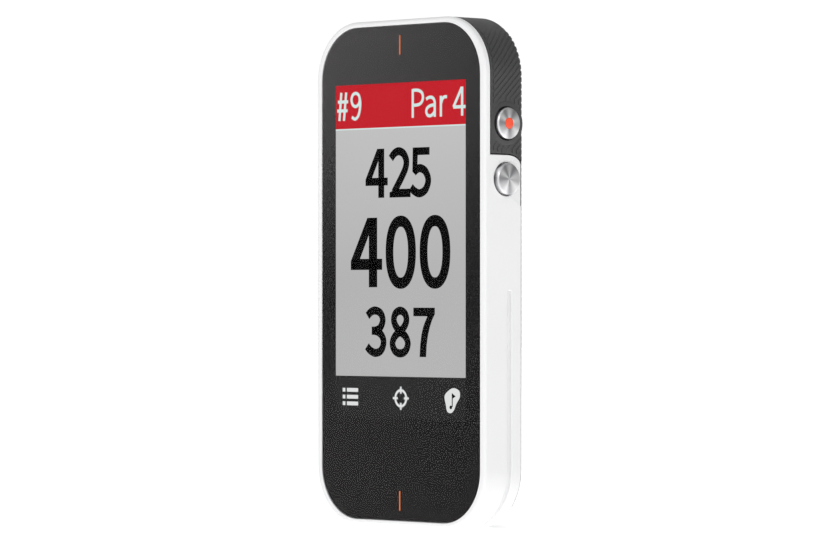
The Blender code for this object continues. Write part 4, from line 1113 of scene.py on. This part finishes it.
def port_cover(finish):
    """The rubber flap with its plug and pull tab, its anchor, and the thin strap between them."""
    back = DEPTH - 0.1
    front = back - FLAP_THICK
    flap = cushion_plate(FLAP_HALF, FLAP_LOW, FLAP_HINGE - 0.2, 1.2, front, back)
    flap = mesh_object("port_flap_cover", flap, finish)
    plug = mesh_object("plug", cushion_plate(5.2, 15.8, 21.8, 1.0, front - 2.0, back - 0.5))
    ridge = cushion_plate(2.6, FLAP_LOW + 0.75, FLAP_LOW + 1.85, 0.5, back - 0.4, back + 0.1, 0.1)
    combine(flap, "UNION", plug, mesh_object("pull_ridge", ridge), solver="EXACT", sharp=40)
    piece("port_flap_cover", flap, finish, "port_flap", ["usb_flap"])
    anchor = cushion_plate(FLAP_HALF, FLAP_HINGE + 0.3, ANCHOR_TOP, 1.2, front, back)
    piece("port_flap_anchor", anchor, finish, replaces=["usb_flap_anchor"], sharp=40)
    bm = bmesh.new()
    reach, steps, half = 0.75, 16, 4.6
    rings = []
    for step in range(steps + 1):
        z = FLAP_HINGE + 0.05 - reach + 2 * reach * step / steps
        rings.append([bm.verts.new((x, y_at(depth), z)) for x, depth in (
            (-half, back - 0.72), (-half, back - 0.3), (half, back - 0.3), (half, back - 0.72))])
    bridge(bm, rings)
    bm.faces.new(rings[0])
    bm.faces.new(rings[-1][::-1])
    strap = piece("port_flap_strap", bm, finish)
    strap.parent = None
    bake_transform(strap)


# ---- Studio --------------------------------------------------------------------------------------

CAMERA_ANGLE = 46.954  # of the camera round from the front, towards the buttons
CAMERA_DISTANCE, CAMERA_SIDESTEP, CAMERA_HEIGHT = 1078.23, 4.624, 55.524
LENS, SENSOR = 190.71, 36.0
SHIFT = (-0.0018, 0.02648)


def camera():
    turn = math.radians(CAMERA_ANGLE)
    ahead, aside = Vector((-math.sin(turn), math.cos(turn), 0)), Vector((math.cos(turn), math.sin(turn), 0))
    origin = Vector((0, y_at(0), CAMERA_HEIGHT))
    data = bpy.data.cameras.new("camera")
    data.lens, data.sensor_width, data.clip_start, data.clip_end = LENS, SENSOR, 0.02, 50
    data.shift_x, data.shift_y = SHIFT
    obj = bpy.data.objects.new("camera", data)
    bpy.context.scene.collection.objects.link(obj)
    obj.location = (origin - ahead * CAMERA_DISTANCE + aside * CAMERA_SIDESTEP) * MM
    obj.rotation_euler = ahead.to_track_quat("-Z", "Y").to_euler()
    bpy.context.scene.camera = obj


def softbox(name, place, aim, size, power, colour=(1, 1, 1)):
    data = bpy.data.lights.new(name, "AREA")
    data.shape, data.size, data.size_y, data.energy, data.color = "RECTANGLE", *size, power, colour
    obj = bpy.data.objects.new(name, data)
    bpy.context.scene.collection.objects.link(obj)
    obj.location = place
    obj.rotation_euler = (Vector(aim) - Vector(place)).to_track_quat("-Z", "Y").to_euler()
    obj.visible_camera = False
    return obj


def studio():
    """A pale floor and background, and large soft lights. Places here are in metres."""
    world = bpy.data.worlds.new("studio")
    world.use_nodes = True
    tree = world.node_tree
    tree.nodes.clear()
    seen = node(tree, "Background", {"Color": (1, 1, 1, 1), "Strength": 1.02})
    way = node(tree, "SeparateXYZ", {"Vector": node(tree, "TexCoord").outputs["Generated"]}).outputs["Y"]
    share = node(tree, "MapRange", {"Value": way, "From Min": -1.0, "From Max": 1.0}).outputs["Result"]
    sky = ramp(tree, share,
               [(0.0, (0.6, 0.6, 0.6, 1)), (0.5, (0.45, 0.45, 0.45, 1)), (1.0, (0.27, 0.27, 0.27, 1))])
    light = node(tree, "Background", {"Color": sky, "Strength": 1.0})
    ray = node(tree, "LightPath").outputs["Is Camera Ray"]
    both = node(tree, "MixShader", {0: ray, 1: light.outputs["Background"], 2: seen.outputs["Background"]})
    tree.links.new(both.outputs["Shader"], node(tree, "OutputWorld").inputs["Surface"])
    bpy.context.scene.world = world
    bm = bmesh.new()
    bmesh.ops.create_circle(bm, cap_ends=True, segments=96, radius=4000)
    floor = mesh_object("studio_floor", bm)
    made, tree, output, where = blank_material("studio_paper")
    paper = ramp(tree, noise(tree, where, 120.0), [(0.3, (0.9, 0.9, 0.9, 1)), (0.7, (0.93, 0.93, 0.93, 1))])
    shader = node(tree, "BsdfPrincipled", {"Base Color": paper, "Roughness": 0.9,
                                           "Emission Color": (1, 1, 1, 1), "Emission Strength": 0.75,
                                           "Specular IOR Level": 0.0})
    tree.links.new(shader.outputs["BSDF"], output.inputs["Surface"])
    floor.data.materials.append(made)
    middle = (0, 0, 0.06)
    softbox("key", (1.2, -1.0, 0.5), middle, (0.9, 1.2), 6.0)
    softbox("fill", (-1.0, -1.2, 0.9), middle, (1.0, 1.2), 0.6)
    softbox("top", (0.1, -0.1, 1.4), middle, (1.2, 1.2), 3.0)
    softbox("back", (-0.6, 1.3, 0.5), middle, (1.0, 1.2), 1.2)
    bpy.context.scene.view_settings.view_transform = "Standard"


def main():
    finishes = slot_materials()
    slots = {part["node"]: part["material_slot"] for part in frame["record"]["subparts"]}
    for name, obj in frame["nodes"].items():
        obj.data.materials.clear()
        obj.data.materials.append(finishes[slots[name]])
    camera()
    studio()
    front_housing(finishes["white_plastic"])
    rear_housing(finishes["ribbed_plastic"])
    ribs(finishes["ribbed_plastic"])
    glass(finishes)
    picture()
    for which in ("upper", "lower"):
        button(which, finishes)
    screws(finishes)
    port_cover(finishes["black_rubber"])


main()
